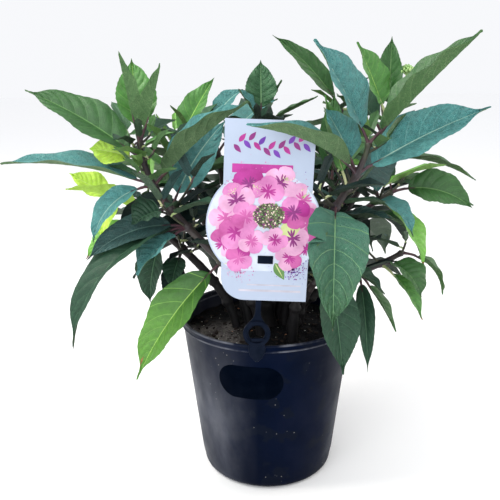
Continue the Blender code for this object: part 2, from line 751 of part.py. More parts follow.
def make_hook(where, helpers):
    """The strap behind the label, its ring above the rim, its tongue and its leg."""
    rim = POT_HEIGHT
    centre = (HOOK_SIDE, rim + RING_UP)
    half = STRAP_WIDTH / 2
    reach = math.degrees(math.asin(half / RING_OUTER))
    top = LABEL_FOOT + SLOT_UP + SLOT_HEIGHT / 2
    lean = math.tan(math.radians(LABEL_TILT)) * (top - centre[1])
    shoulder = rim - 0.18 * TONGUE_DROP
    point_start = rim - 0.8 * TONGUE_DROP
    loop = [(HOOK_SIDE + half + lean, top), (HOOK_SIDE - half + lean, top)]
    loop += arc(centre, RING_OUTER, 90 + reach, 235, 10)
    loop += [(HOOK_SIDE - TONGUE_WIDTH / 2, shoulder), (HOOK_SIDE - TONGUE_WIDTH / 4, point_start)]
    loop += [(HOOK_SIDE, rim - TONGUE_DROP), (HOOK_SIDE + TONGUE_WIDTH / 4, point_start)]
    loop += [(HOOK_SIDE + TONGUE_WIDTH / 2, shoulder)]
    loop += arc(centre, RING_OUTER, -55, 90 - reach, 10)
    hole = arc(centre, RING_INNER, 0, 360 * 15 / 16, 15)
    hook = flat_piece("label_hook", [loop, hole], HOOK_THICK, where)
    for vertex in hook.data.vertices:
        vertex.co.y += hook_plane()
    hook.data.materials.append(finish("hook_black", (0.01, 0.01, 0.014), 0.4))
    fused = add_boxes(hook, hook_boxes(), helpers)
    label_place(fused["tab"], hook_plane() - HOOK_THICK / 2 - LABEL_THICK / 2)
    return hook


def hook_boxes():
    """Place and size of the saddle over the rim, the leg inside it and the tab in the label's slot."""
    rim = POT_HEIGHT + GAP
    front = hook_plane()
    clear_radius = wall_radius(POT_HEIGHT - LEG_DROP) - WALL - GAP
    leg_front = -math.sqrt(clear_radius**2 - (abs(HOOK_SIDE) + LEG_WIDTH / 2) ** 2)
    leg_back = leg_front + HOOK_THICK
    return {
        "saddle": ((HOOK_SIDE, (front + leg_back) / 2, rim + HOOK_THICK / 2),
                   (LEG_WIDTH, leg_back - front, HOOK_THICK)),
        "leg": ((HOOK_SIDE, leg_front + HOOK_THICK / 2, rim + HOOK_THICK - LEG_DROP / 2),
                (LEG_WIDTH, HOOK_THICK, LEG_DROP)),
        "tab": ((SLOT_SIDE, 0, SLOT_UP),
                (SLOT_WIDTH - 2 * GAP, HOOK_THICK + LABEL_THICK, SLOT_HEIGHT - 2 * GAP)),
    }


def add_boxes(target, boxes, helpers):
    """Fuses plain boxes to a piece."""
    made = {}
    for name, (place, size) in boxes.items():
        bpy.ops.mesh.primitive_cube_add(size=1)
        box = made[name] = bpy.context.object
        box.name = name + "_box"
        for vertex in box.data.vertices:
            vertex.co = [c * s + p for c, s, p in zip(vertex.co, size, place)]
        for holder in list(box.users_collection):
            holder.objects.unlink(box)
        helpers.objects.link(box)
        box.hide_render = True
        box.display_type = "WIRE"
        join = target.modifiers.new(name, "BOOLEAN")
        join.operation = "UNION"
        join.object = box
    return made


def make_stump(where):
    """The old base that the canes stand round, flared where it meets the potting mix."""
    foot = MIX_TOP + MIX_HEAP + GAP
    top = foot + STUMP_HEIGHT
    profile = [(0, top), (0.85 * STUMP_RADIUS, top), (STUMP_RADIUS, top - 0.1 * STUMP_HEIGHT)]
    profile += [(STUMP_RADIUS, foot + 0.4 * STUMP_HEIGHT), (STUMP_FLARE, foot), (0, foot)]
    return turned("crown_stump", profile, 10, where, finish("old_wood", (0.09, 0.06, 0.045), 0.85))


def make_limbs(plant, where, bark):
    """One tapering cane for each shoot, from the potting mix to where its leaves begin."""
    for name, mass in plant.items():
        course, shoot = mass["course"], SHOOTS[name]
        end = shoot["enter"] - GAP / course.length
        shares = np.linspace(0, end, 7)
        rings = tube_rings(course, shares, [radius_at(s) for s in shares], 7)
        for point in rings[0]:
            point[2] = course.points[0][2]
        cane = mesh_object("cane_" + name, loft(rings), where, bark)
        outward(cane)


def blossom_skins(course):
    """A flat-topped cluster of green buds on its stalk, above a shoot's tip."""
    stalk = Twig(course.point(1.0), STALK_ANGLE, STALK_RISE, STALK_LENGTH)
    skins = [loft(tube_rings(stalk, (0.0, 0.5, 1.0), [TWIG_RADIUS] * 3, 4))]
    top = stalk.point(1.0)
    skins.append(bead(top, BUD_RADIUS * 1.2))
    for i in range(BUD_COUNT):
        a = 2 * math.pi * i / BUD_COUNT
        skins.append(bead(top + at_angle(math.degrees(a), BUD_SPREAD, 0), BUD_RADIUS))
    return skins


def bead(centre, radius):
    """An eight-faced bead."""
    rings = [[centre + np.array([radius * math.cos(a), radius * math.sin(a), 0])
              for a in (0.3 + i * math.pi / 2 for i in range(4))]]
    points = [tuple(p) for p in rings[0]]
    points += [tuple(centre + np.array([0, 0, radius])), tuple(centre - np.array([0, 0, radius]))]
    faces = [(i, (i + 1) % 4, 4) for i in range(4)] + [((i + 1) % 4, i, 5) for i in range(4)]
    return points, faces


def make_masses(plant, where, helpers, green):
    """One solid for each mass: its stem, its twigs and its leaves, fused."""
    for name, mass in plant.items():
        course, shoot = mass["course"], SHOOTS[name]
        shares = np.linspace(shoot["enter"], 1.0, 9)
        radii = [radius_at(s) for s in shares]
        skin = loft(tube_rings(course, shares, radii, 6), bud_tip(course, BUD))
        stem = mesh_object("foliage_" + name, skin, where, green)
        outward(stem)
        skins = []
        for twig in mass["twigs"]:
            end = twig.point(1.0) + twig.direction(1.0) * TWIG_BUD
            skins.append(loft(tube_rings(twig, (0.0, 0.5, 1.0), [TWIG_RADIUS] * 3, 3), end))
        for leaf in mass["leaves"]:
            cuts = SMALL_CUTS if leaf.get("small") else LEAF_CUTS
            skins.append(loft(*leaf_rings(leaf, cuts)))
        if shoot.get("blossom"):
            skins += blossom_skins(course)
        parts = collection("parts_of_" + name, helper=True)
        for i, skin in enumerate(skins):
            outward(mesh_object(f"{name}_{i}", skin, parts))
        fuse = stem.modifiers.new("fuse", "BOOLEAN")
        fuse.operation = "UNION"
        fuse.operand_type = "COLLECTION"
        fuse.collection = parts
        fuse.solver = "MANIFOLD"
        apply_modifiers(stem)
        for obj in list(parts.objects):
            bpy.data.objects.remove(obj, do_unlink=True)
        bpy.data.collections.remove(parts)
        drop_scraps(stem)


def drop_scraps(obj):
    """Keeps the largest piece of a fused mesh."""
    shape = bmesh.new()
    shape.from_mesh(obj.data)
    left = set(shape.verts)
    groups = []
    while left:
        seed = left.pop()
        group, queue = {seed}, [seed]
        while queue:
            for edge in queue.pop().link_edges:
                for vertex in edge.verts:
                    if vertex in left:
                        left.remove(vertex)
                        group.add(vertex)
                        queue.append(vertex)
        groups.append(group)
    groups.sort(key=len, reverse=True)
    loose = [vertex for group in groups[1:] for vertex in group]
    if loose:
        print(obj.name, "drops", len(groups) - 1, "loose pieces")
        bmesh.ops.delete(shape, geom=loose, context="VERTS")
    shape.to_mesh(obj.data)
    shape.free()


def skin_of(obj):
    graph = bpy.context.evaluated_depsgraph_get()
    mesh = obj.evaluated_get(graph).to_mesh()
    points = [tuple(obj.matrix_world @ vertex.co) for vertex in mesh.vertices]
    faces = [tuple(face.vertices) for face in mesh.polygons]
    return points, faces


def main():
    clear_scene()
    parts = collection("hydrangea_in_pot")
    helpers = collection("helpers", helper=True)
    pot = make_pot(parts, helpers)
    mix = make_potting_mix(parts)
    label = make_label(parts)
    hook = make_hook(parts, helpers)
    stump = make_stump(parts)
    bpy.context.view_layer.update()
    obstacles = {obj.name: skin_of(obj) for obj in (pot, mix, label, hook, stump)}
    plant = grow(obstacles)
    bark = finish("young_bark", (0.075, 0.045, 0.045), 0.6)
    green = finish("leaf_green", (0.06, 0.17, 0.06), 0.45)
    make_limbs(plant, parts, bark)
    make_masses(plant, parts, helpers, green)
    print("leaves", sum(len(mass["leaves"]) for mass in plant.values()))


if __name__ == "__main__":
    main()
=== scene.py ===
import math
import random

import bpy
import numpy as np
from mathutils import Matrix, Vector, noise
from mathutils.bvhtree import BVHTree


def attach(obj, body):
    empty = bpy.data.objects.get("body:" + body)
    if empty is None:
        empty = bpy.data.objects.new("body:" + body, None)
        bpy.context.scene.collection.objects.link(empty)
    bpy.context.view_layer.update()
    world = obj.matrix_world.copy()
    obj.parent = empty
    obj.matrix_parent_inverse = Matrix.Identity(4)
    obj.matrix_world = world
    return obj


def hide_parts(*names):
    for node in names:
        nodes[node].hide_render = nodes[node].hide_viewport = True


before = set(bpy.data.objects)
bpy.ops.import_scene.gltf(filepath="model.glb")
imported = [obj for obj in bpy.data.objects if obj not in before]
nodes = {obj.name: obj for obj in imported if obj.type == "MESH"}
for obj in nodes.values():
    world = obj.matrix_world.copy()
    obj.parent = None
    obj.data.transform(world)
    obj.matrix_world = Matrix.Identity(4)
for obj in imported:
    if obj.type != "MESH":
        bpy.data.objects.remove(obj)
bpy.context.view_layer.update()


# Small helpers for shaping and finishing

def placed(name, data):
    obj = bpy.data.objects.new(name, data)
    bpy.context.scene.collection.objects.link(obj)
    return obj


def activate(obj):
    for other in bpy.context.selected_objects:
        other.select_set(False)
    obj.select_set(True)
    bpy.context.view_layer.objects.active = obj


def added(primitive, name, **settings):
    # a primitive to start from, with nothing else selected
    activate(nodes["pot"])
    primitive(**settings)
    obj = bpy.context.object
    obj.name = obj.data.name = name
    return obj


def copied(model, name, place):
    # a copy with its own mesh, its place in that mesh
    copy = placed(name, model.data.copy())
    copy.data.transform(place)
    return copy


def selectAll():
    bpy.ops.mesh.select_all(action="SELECT")


def editing(obj, mode="VERT"):
    activate(obj)
    bpy.ops.object.mode_set(mode="EDIT")
    bpy.ops.mesh.select_mode(type=mode)
    selectAll()


def objectMode():
    bpy.ops.object.mode_set(mode="OBJECT")


def applyAll(obj):
    activate(obj)
    for modifier in list(obj.modifiers):
        bpy.ops.object.modifier_apply(modifier=modifier.name)


def settle(obj):
    # the piece's place goes into its mesh
    activate(obj)
    bpy.ops.object.transform_apply(location=True, rotation=True, scale=True)


def faceOutward(obj, distance=0.000005):
    editing(obj)
    bpy.ops.mesh.remove_doubles(threshold=distance)
    bpy.ops.mesh.normals_make_consistent(inside=False)
    objectMode()


def soften(obj, width, segments, angle=30):
    # rounds every edge sharper than the angle
    bevel = obj.modifiers.new("soften", "BEVEL")
    bevel.width = width
    bevel.segments = segments
    bevel.limit_method = "ANGLE"
    bevel.angle_limit = math.radians(angle)
    applyAll(obj)


def smooth(obj, angle=35):
    activate(obj)
    bpy.ops.object.shade_smooth_by_angle(angle=math.radians(angle))


def joined(name, objects):
    activate(objects[0])
    for obj in objects[1:]:
        obj.select_set(True)
    if len(objects) > 1:
        bpy.ops.object.join()
    objects[0].name = objects[0].data.name = name
    return objects[0]


def fromArrays(name, points, faces, materials=(), slots=None):
    mesh = bpy.data.meshes.new(name)
    mesh.from_pydata([tuple(p) for p in points], [], faces)
    for material in materials:
        mesh.materials.append(material)
    if slots is not None:
        mesh.polygons.foreach_set("material_index", slots)
    return placed(name, mesh)


def merged(skins):
    # many skins' points and faces as one
    points, faces = [], []
    for somePoints, someFaces in skins:
        start = len(points)
        points.extend(somePoints)
        faces += [tuple(start + i for i in face) for face in someFaces]
    return points, faces


def standsFor(obj, slot, *names):
    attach(obj, "root")
    if names:
        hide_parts(*names)


def finished(piece, material, angle, slot, *names):
    # one material all over, smooth up to the angle, in place of the CAD nodes named
    piece.data.materials.clear()
    piece.data.materials.append(material)
    smooth(piece, angle)
    standsFor(piece, slot, *names)


# Finishes

def tint(red, green, blue):
    # screen colour to the shader's linear one
    return [((c / 255 + 0.055) / 1.055) ** 2.4 if c > 10 else c / 255 / 12.92 for c in (red, green, blue)]


class Finish:
    # one procedural material, with patterns that read the piece's own coordinates

    def __init__(self, name, colour, roughness=0.5, specular=0.5, reflection=None):
        self.material = bpy.data.materials.new(name)
        self.material.use_nodes = True
        self.tree = self.material.node_tree
        self.shader = self.tree.nodes["Principled BSDF"]
        self.shader.inputs["Base Color"].default_value = (*tint(*colour), 1)
        self.shader.inputs["Roughness"].default_value = roughness
        self.shader.inputs["Specular IOR Level"].default_value = specular
        if reflection:
            self.shader.inputs["Specular Tint"].default_value = (*reflection, 1)
        self.where = self.tree.nodes.new("ShaderNodeTexCoord").outputs["Object"]

    def link(self, output, socket):
        self.tree.links.new(output, socket)

    def mapped(self, stretch):
        place = self.tree.nodes.new("ShaderNodeMapping")
        place.inputs["Scale"].default_value = stretch
        self.link(self.where, place.inputs["Vector"])
        return place.outputs["Vector"]

    def noise(self, scale, detail=3.0, rough=0.55, stretch=(1, 1, 1)):
        made = self.tree.nodes.new("ShaderNodeTexNoise")
        made.inputs["Scale"].default_value = scale
        made.inputs["Detail"].default_value = detail
        made.inputs["Roughness"].default_value = rough
        self.link(self.mapped(stretch), made.inputs["Vector"])
        return made.outputs["Fac"]

    def cells(self, scale, feature="F1", stretch=(1, 1, 1)):
        made = self.tree.nodes.new("ShaderNodeTexVoronoi")
        made.feature = feature
        made.inputs["Scale"].default_value = scale
        self.link(self.mapped(stretch), made.inputs["Vector"])
        return made.outputs["Distance"]

    def ramp(self, source, stops):
        made = self.tree.nodes.new("ShaderNodeValToRGB")
        band = made.color_ramp
        while len(band.elements) < len(stops):
            band.elements.new(0.5)
        for element, (place, colour) in zip(band.elements, stops):
            element.position = place
            element.color = (*tint(*colour), 1)
        self.link(source, made.inputs["Fac"])
        return made.outputs["Color"]

    def blend(self, share, first, second):
        made = self.tree.nodes.new("ShaderNodeMix")
        made.data_type = "RGBA"
        self.link(share, made.inputs["Factor"])
        self.link(first, made.inputs["A"])
        self.link(second, made.inputs["B"])
        return made.outputs["Result"]

    def levels(self, source, low, high, start, end):
        made = self.tree.nodes.new("ShaderNodeMapRange")
        for name, value in zip(("From Min", "From Max", "To Min", "To Max"), (low, high, start, end)):
            made.inputs[name].default_value = value
        self.link(source, made.inputs["Value"])
        return made.outputs["Result"]

    def across(self, axis):
        parts = self.tree.nodes.new("ShaderNodeSeparateXYZ")
        self.link(self.where, parts.inputs[0])
        return parts.outputs[axis]

    def colour(self, output):
        self.link(output, self.shader.inputs["Base Color"])
        return self

    def roughness(self, output):
        self.link(output, self.shader.inputs["Roughness"])
        return self

    def bump(self, source, distance, strength=0.6):
        made = self.tree.nodes.new("ShaderNodeBump")
        made.inputs["Distance"].default_value = distance
        made.inputs["Strength"].default_value = strength
        old = self.shader.inputs["Normal"]
        if old.is_linked:
            self.link(old.links[0].from_socket, made.inputs["Normal"])
        self.link(source, made.inputs["Height"])
        self.link(made.outputs["Normal"], old)
        return self


def grained(name, colour, gloss, grain, stops, *bumps, reflection=None):
    # a colour that follows one grain, and bumps given as their own grain, height and strength
    made = Finish(name, colour, *gloss, reflection)
    made.colour(made.ramp(made.noise(*grain), stops))
    for bumpGrain, height, strength in bumps:
        made.bump(made.noise(*bumpGrain), height, strength)
    return made


# Camera, light and floor

view = dict(place=(-0.019, -0.764, 0.490), pitch=16.6, roll=-0.6, lens=50.4, sensor=36, near=0.01)
room = dict(sky=(251, 252, 255), glow=0.97, floor=12, below=0.0004, ground=(253, 253, 253))
lights = {
    # name: place, aimed at, width, watts, colour
    "key": ((-1.05, -0.15, 1.60), (-0.02, 0.0, 0.28), 0.6, 20, (1.0, 0.97, 0.90)),
    "front": ((-0.7, -1.6, 1.2), (0.0, 0.0, 0.25), 1.4, 14, (0.94, 0.98, 1.0)),
    "side": ((1.3, 0.1, 0.8), (0.0, 0.0, 0.25), 0.8, 6, (1.0, 0.93, 0.85)),
}


def makeStudio():
    camera = placed("camera", bpy.data.cameras.new("camera"))
    camera.data.lens = view["lens"]
    camera.data.sensor_width = view["sensor"]
    camera.data.clip_start = view["near"]
    turn = Matrix.Rotation(math.radians(90 - view["pitch"]), 4, "X")
    turn = turn @ Matrix.Rotation(math.radians(view["roll"]), 4, "Z")
    camera.matrix_world = Matrix.Translation(view["place"]) @ turn
    bpy.context.scene.camera = camera
    for name, (place, aim, width, watts, colour) in lights.items():
        lamp = bpy.data.lights.new(name, "AREA")
        lamp.size = width
        lamp.energy = watts
        lamp.color = colour
        obj = placed(name, lamp)
        obj.location = place
        obj.rotation_euler = (Vector(aim) - Vector(place)).to_track_quat("-Z", "Y").to_euler()
    world = bpy.data.worlds.new("studio")
    bpy.context.scene.world = world
    world.use_nodes = True
    sky = world.node_tree.nodes["Background"].inputs
    sky["Color"].default_value = (*tint(*room["sky"]), 1)
    sky["Strength"].default_value = room["glow"]
    bpy.context.scene.view_settings.view_transform = "Standard"
    below = (0, 0, -room["below"])
    floor = added(bpy.ops.mesh.primitive_plane_add, "floor", size=room["floor"], location=below)
    floor.data.materials.append(Finish("pale_floor", room["ground"], 0.9, 0.1).material)


# Nursery pot

pot = dict(
    height=0.188, rim=0.100, band=0.008, step=0.0022, base=0.0765, baseRound=0.008,
    wall=0.0018, floor=0.0025, lip=0.0034, steps=144,
    insideRings=(0.05, 0.10, 0.14, 0.165), outsideRings=(0.165, 0.14, 0.115, 0.09, 0.065, 0.04, 0.02),
    holes=6, holeRadius=0.0045, holeRing=0.055, holeTurn=12,
)
bluish = (0.25, 0.50, 1.0)  # how black plastic reflects
gap = 0.0003  # between neighbouring pieces


def wallRadius(height):
    top = pot["height"] - pot["band"]
    return pot["base"] + (pot["rim"] - pot["step"] - pot["base"]) * height / top


def potProfile():
    # from the middle of the floor, up the inside, over the rim and down the outside
    top, foot = pot["height"], pot["height"] - pot["band"]
    inner, rim, wall = pot["rim"] - pot["lip"], pot["rim"], pot["wall"]
    floor, bend = pot["floor"], pot["baseRound"]
    flat = pot["base"] - bend
    corner = [math.radians(15 * i) for i in range(7)]
    line = [(0, floor), (flat, floor)]
    line += [(flat + (bend - wall) * math.sin(a), floor + bend * (1 - math.cos(a))) for a in corner[1:]]
    line += [(wallRadius(h) - wall, h) for h in pot["insideRings"]]
    line += [(wallRadius(foot) - wall, foot - 0.002), (inner + 0.0003, foot + 0.001), (inner, foot + 0.003)]
    # the lip's rounded top, the groove under it and the band's foot
    line += [(inner, top - 0.0010), (inner + 0.0004, top - 0.0003), (inner + 0.0010, top)]
    line += [(rim - 0.0010, top), (rim - 0.0003, top - 0.0003), (rim, top - 0.0010)]
    line += [(rim - 0.0001, top - 0.0018), (rim - 0.0007, top - 0.0024), (rim - 0.0008, foot + 0.0022)]
    line += [(rim - 0.0002, foot + 0.0015), (rim, foot + 0.0008)]
    line += [(rim - 0.0003, foot), (rim - 0.0010, foot - 0.0004)]
    line += [(wallRadius(foot) + 0.0004, foot - 0.0008), (wallRadius(foot - 0.003), foot - 0.003)]
    line += [(wallRadius(h), h) for h in pot["outsideRings"]]
    line += [(flat + bend * math.cos(a), bend - bend * math.sin(a)) for a in corner]
    return line + [(0, 0)]


def spun(name, profile, steps):
    # a profile drawn out point by point from one vertex, then spun round the axis
    first = (profile[0][0], 0, profile[0][1])
    obj = added(bpy.ops.mesh.primitive_plane_add, name, size=0.01, location=first)
    settle(obj)
    editing(obj)
    bpy.ops.mesh.merge(type="CENTER")
    for (r0, z0), (r1, z1) in zip(profile, profile[1:]):
        bpy.ops.mesh.extrude_region_move(TRANSFORM_OT_translate={"value": (r1 - r0, 0, z1 - z0)})
    selectAll()
    bpy.ops.mesh.spin(steps=steps, angle=2 * math.pi, center=(0, 0, 0), axis=(0, 0, 1))
    objectMode()
    faceOutward(obj, 0.00002)
    return obj


def potPlastic():
    black = Finish("pot_plastic", (14, 17, 28), 0.42, 0.07, bluish)
    dust = black.noise(14, 6, 0.6, (1, 1, 0.7))
    dusty = black.ramp(dust, [(0.42, (0, 3, 20)), (0.58, (1, 6, 27)), (0.76, (9, 13, 32))])
    specks = black.cells(150)
    speckled = black.ramp(specks, [(0.0, (176, 172, 164)), (0.08, (84, 84, 88)), (0.12, (7, 11, 24))])
    spotted = black.blend(black.levels(black.noise(45, 2), 0.55, 0.60, 0, 1), dusty, speckled)
    # a painted sheen, mottled, on the lower left front, and a faint painted sheen on the right
    paintedSheen = black.ramp(black.noise(26, 5, 0.6, (1, 1, 0.5)), [(0.32, (58, 62, 74)), (0.68, (112, 114, 122))])
    sheenClouds = black.levels(black.noise(17, 3, 0.6, (1, 1, 0.5)), 0.36, 0.60, 0.45, 1)
    sheenMottled = black.blend(sheenClouds, spotted, paintedSheen)
    side, high = black.across("X"), black.across("Z")
    leftSheen = black.blend(black.levels(side, -0.092, -0.012, 0.9, 0), spotted, sheenMottled)
    lower = black.blend(black.levels(high, 0.10, 0.175, 0, 0.65), leftSheen, spotted)
    # the faint painted sheen on the right edge
    body = black.blend(black.levels(side, 0.06, 0.12, 0, 0.35), lower, sheenMottled)
    # painted highlight lines, broken up by noise: on the lip, and on the foot of the band below it
    edgeHighlight = black.ramp(black.noise(40, 3), [(0.40, (26, 30, 44)), (0.62, (122, 124, 132))])
    lipped = black.blend(black.levels(high, 0.1860, 0.1872, 0, 0.6), body, edgeHighlight)
    footed = black.blend(black.levels(high, 0.1822, 0.1812, 0, 0.6), lipped, edgeHighlight)
    black.colour(black.blend(black.levels(high, 0.1795, 0.1801, 0, 1), lipped, footed))
    black.roughness(black.levels(black.noise(30, 5), 0.3, 0.7, 0.34, 0.55))
    black.bump(black.noise(900, 2), 0.00006, 0.5)
    black.bump(black.noise(28, 3, 0.5, (1, 1, 0.35)), 0.0006, 0.35)
    return black.material


def makePot():
    shell = spun("pot_shell", potProfile(), pot["steps"])
    for i in range(pot["holes"]):
        a = math.radians(pot["holeTurn"]) + 2 * math.pi * i / pot["holes"]
        place = (pot["holeRing"] * math.cos(a), pot["holeRing"] * math.sin(a), 0)
        size = dict(vertices=24, radius=pot["holeRadius"], depth=0.02)
        drill = added(bpy.ops.mesh.primitive_cylinder_add, "drill", location=place, **size)
        cut = shell.modifiers.new("drain", "BOOLEAN")
        cut.operation = "DIFFERENCE"
        cut.object = drill
        applyAll(shell)
        bpy.data.objects.remove(drill)
    finished(shell, potPlastic(), 40, "pot_plastic", "pot")
    makePlaque()
    print("pot done")


plaque = dict(
    across=0.0720, tall=0.0400, angle=-12.8, height=0.1415, thick=0.0005,
    edge=0.00015, sunk=0.0001, cuts=8, cutStep=0.004,
)


def makePlaque():
    # a blank oblong sticker with round ends, laid on the wall
    disc = dict(vertices=48, radius=plaque["tall"] / 2, fill_type="NGON")
    sticker = added(bpy.ops.mesh.primitive_circle_add, "pot_plaque", **disc)
    straight = (plaque["across"] - plaque["tall"]) / 2
    for vertex in sticker.data.vertices:
        vertex.co.x += math.copysign(straight, vertex.co.x) if abs(vertex.co.x) > 0.00001 else 0
    editing(sticker, "FACE")
    bpy.ops.mesh.extrude_region_move(TRANSFORM_OT_translate={"value": (0, 0, plaque["thick"])})
    selectAll()
    for i in range(-plaque["cuts"], plaque["cuts"] + 1):
        bpy.ops.mesh.bisect(plane_co=(i * plaque["cutStep"], 0, 0), plane_no=(1, 0, 0))
        selectAll()
    objectMode()
    faceOutward(sticker)
    soften(sticker, plaque["edge"], 2)
    for vertex in sticker.data.vertices:
        x, y, out = vertex.co
        z = plaque["height"] + y
        radius = wallRadius(z) + out - plaque["sunk"]
        a = math.radians(plaque["angle"] - 90) + x / wallRadius(plaque["height"])
        vertex.co = (radius * math.cos(a), radius * math.sin(a), z)
    dark = grained(
        "plaque_film", (2, 4, 10), (0.8, 0.03), (60, 4), [(0.4, (0, 3, 12)), (0.7, (3, 7, 18))],
        ((500, 2), 0.00003, 0.4), reflection=bluish,
    )
    finished(sticker, dark.material, 40, "pot_plastic")


# Potting mix

mix = dict(
    top=0.168, heap=0.004, level=0.046, slope=0.030, rings=44, steps=150, sideRings=(0.12, 0.06, 0.012),
    ripple=0.0016, waves=(190, 40, 150, 60), lumps=0.0022, coarse=90, fine=320, sunk=0.0004,
)
chips = {
    # name: finish, count, smallest and largest size
    "bark_chips": ("woody", 260, 0.0022, 0.0065),
    "tawny_chips": ("tawny", 43, 0.0014, 0.0036),
    "white_grit": ("white", 260, 0.0008, 0.0019),
}
# chamfer and shape of one bit, as its size and variation each way, and how the bits are spread
bit = dict(chamfer=0.22, shape=((1.0, 0.25), (0.55, 0.15), (0.32, 0.10)))
strewn = dict(clear=0.016, edge=0.006, sunPatchPart=(-0.45, -0.3), sparse=0.8, sunk=0.10, tip=0.5)


def mixHeight(x, y):
    out = min(1, max(0, (math.hypot(x, y) - mix["level"]) / mix["slope"]))
    a, b, c, d = mix["waves"]
    ripple = math.sin(a * x + b * y) * math.cos(c * y - d * x)
    return mix["top"] + mix["heap"] * (1 - out) + mix["ripple"] * ripple * min(1, 3 * out)


def lumpyHeight(x, y):
    coarse = noise.noise(Vector((x * mix["coarse"], y * mix["coarse"], 3.1)))
    fine = noise.noise(Vector((x * mix["fine"], y * mix["fine"], 7.7)))
    return mixHeight(x, y) + mix["lumps"] * (0.6 * coarse + 0.4 * fine) - mix["sunk"]


def mixEarth():
    earth = Finish("potting_earth", (70, 58, 48), 0.95, 0.2)
    crumbs = earth.cells(420)
    shade = earth.ramp(crumbs, [(0.0, (186, 176, 168)), (0.35, (98, 90, 86)), (0.7, (38, 34, 36))])
    tone = earth.ramp(earth.noise(60, 5), [(0.35, (84, 80, 80)), (0.65, (158, 150, 146))])
    # painted shade: the near-black colour of the mix where no light falls
    shadeColour = earth.ramp(crumbs, [(0.0, (26, 26, 30)), (0.35, (14, 15, 19)), (0.7, (7, 8, 12))])
    sunPatch = earth.blend(earth.noise(200, 3), shade, tone)
    # a painted sunlit patch at the left front, where the light reaches the mix; painted shade everywhere else
    left = earth.levels(earth.across("X"), -0.040, -0.022, 1, 0)
    front = earth.levels(earth.across("Y"), -0.004, 0.016, 1, 0)
    earth.colour(earth.blend(left, shadeColour, earth.blend(front, shadeColour, sunPatch)))
    earth.bump(crumbs, 0.0012, 0.8)
    return earth.material


def makeMix():
    edge = wallRadius(mix["top"] - 0.003) - pot["wall"] - gap
    low = pot["floor"] + gap
    profile = [(edge * i / mix["rings"], mix["top"]) for i in range(mix["rings"] + 1)]
    profile += [(wallRadius(h) - pot["wall"] - 2 * gap, h) for h in mix["sideRings"]]
    profile += [(pot["base"] - pot["baseRound"] - 2 * gap, low), (0, low)]
    body = spun("mix_fill", profile, mix["steps"])
    for vertex in body.data.vertices:
        if vertex.co.z > mix["top"] - 0.0001:
            vertex.co.z = lumpyHeight(vertex.co.x, vertex.co.y)
    finished(body, mixEarth(), 60, "potting_mix", "potting_mix")
    scatterBits(edge)
    print("potting mix done")


def bitShape(name, dice):
    # one broken bit: a cube cut across its corners, drawn out and skewed
    model = added(bpy.ops.mesh.primitive_cube_add, name, size=1)
    editing(model, "FACE")
    bpy.ops.mesh.bevel(offset=bit["chamfer"], segments=1)
    objectMode()
    for vertex in model.data.vertices:
        for axis, (size, vary) in enumerate(bit["shape"]):
            vertex.co[axis] *= size + vary * dice.uniform(-1, 1)
    return model


def scatterBits(edge):
    dice = random.Random("bits")
    finishes = dict(
        woody=grained(
            "bark_chip", (96, 76, 58), (0.9, 0.2), (160, 4),
            [(0.3, (22, 18, 18)), (0.55, (44, 36, 32)), (0.75, (76, 64, 54))],
            ((700, 3, 0.6, (1, 4, 1)), 0.0003, 0.7),
        ),
        tawny=grained(
            "tawny_chip", (190, 128, 90), (0.85, 0.2), (150, 3),
            [(0.35, (150, 98, 66)), (0.7, (226, 172, 138))], ((600, 3), 0.0003, 0.6),
        ),
        white=grained(
            "white_grit", (226, 226, 214), (0.8, 0.3), (300, 2),
            [(0.35, (196, 194, 182)), (0.7, (240, 240, 232))], ((900, 3), 0.0003, 0.7),
        ),
    )
    for name, (finish, count, small, large) in chips.items():
        bits = []
        model = bitShape(name + "_model", dice)
        for _ in range(count):
            out, a = (edge - strewn["edge"]) * math.sqrt(dice.random()), dice.uniform(0, 2 * math.pi)
            # the pale bits lie mostly at the left front, in the mix's painted sunlit patch
            sunPatch = math.cos(a) < strewn["sunPatchPart"][0] and math.sin(a) < strewn["sunPatchPart"][1]
            if out < strewn["clear"]:
                continue
            if name != "bark_chips" and not sunPatch and dice.random() < strewn["sparse"]:
                continue
            size = small + (large - small) * dice.random() ** 2
            x, y = out * math.cos(a), out * math.sin(a)
            turn = Matrix.Rotation(dice.uniform(0, 6.3), 4, "Z")
            turn = turn @ Matrix.Rotation(dice.uniform(-strewn["tip"], strewn["tip"]), 4, "X")
            place = Matrix.Translation((x, y, lumpyHeight(x, y) + strewn["sunk"] * size))
            bits.append(copied(model, name, place @ turn @ Matrix.Scale(size, 4)))
        bpy.data.objects.remove(model)
        finished(joined(name, bits), finishes[finish].material, 30, "potting_mix")


# Bib label and its print

label = dict(
    width=0.086, height=0.180, thick=0.0009, foot=0.240, side=-0.0065, tilt=2.7,
    disc=0.0565, discUp=0.078, discSide=-0.0025, topRound=0.024, footRound=0.024,
    slot=(0.0158, 0.0088), slotUp=0.043, slotSide=0.0005, edge=0.00012, proud=0.0012,
)
hook = dict(
    thick=0.002, strap=0.0058, outer=0.0142, inner=0.0084, up=0.0155,
    tongue=(0.0180, 0.0170), leg=(0.0140, 0.0120), side=-0.013, round=0.0005,
    lipInset=0.0002, lipInside=0.0020, lipThick=0.0036, lipRound=0.0010, lipBack=0.0006,
    barRound=0.0007, tabThick=0.0036, tabRound=0.0004,
)
hookPlane = -(pot["rim"] + gap + hook["thick"] / 2)
labelFace = hookPlane - hook["thick"] / 2 - gap - label["proud"]  # where the card's printed face stands


def arc(centre, radius, start, end, steps):
    turns = (math.radians(start + (end - start) * i / steps) for i in range(steps + 1))
    return [(centre[0] + radius * math.cos(a), centre[1] + radius * math.sin(a)) for a in turns]


def discCrossing(side):
    half = math.sqrt(label["disc"] ** 2 - (side - label["discSide"]) ** 2)
    return label["discUp"] - half, label["discUp"] + half


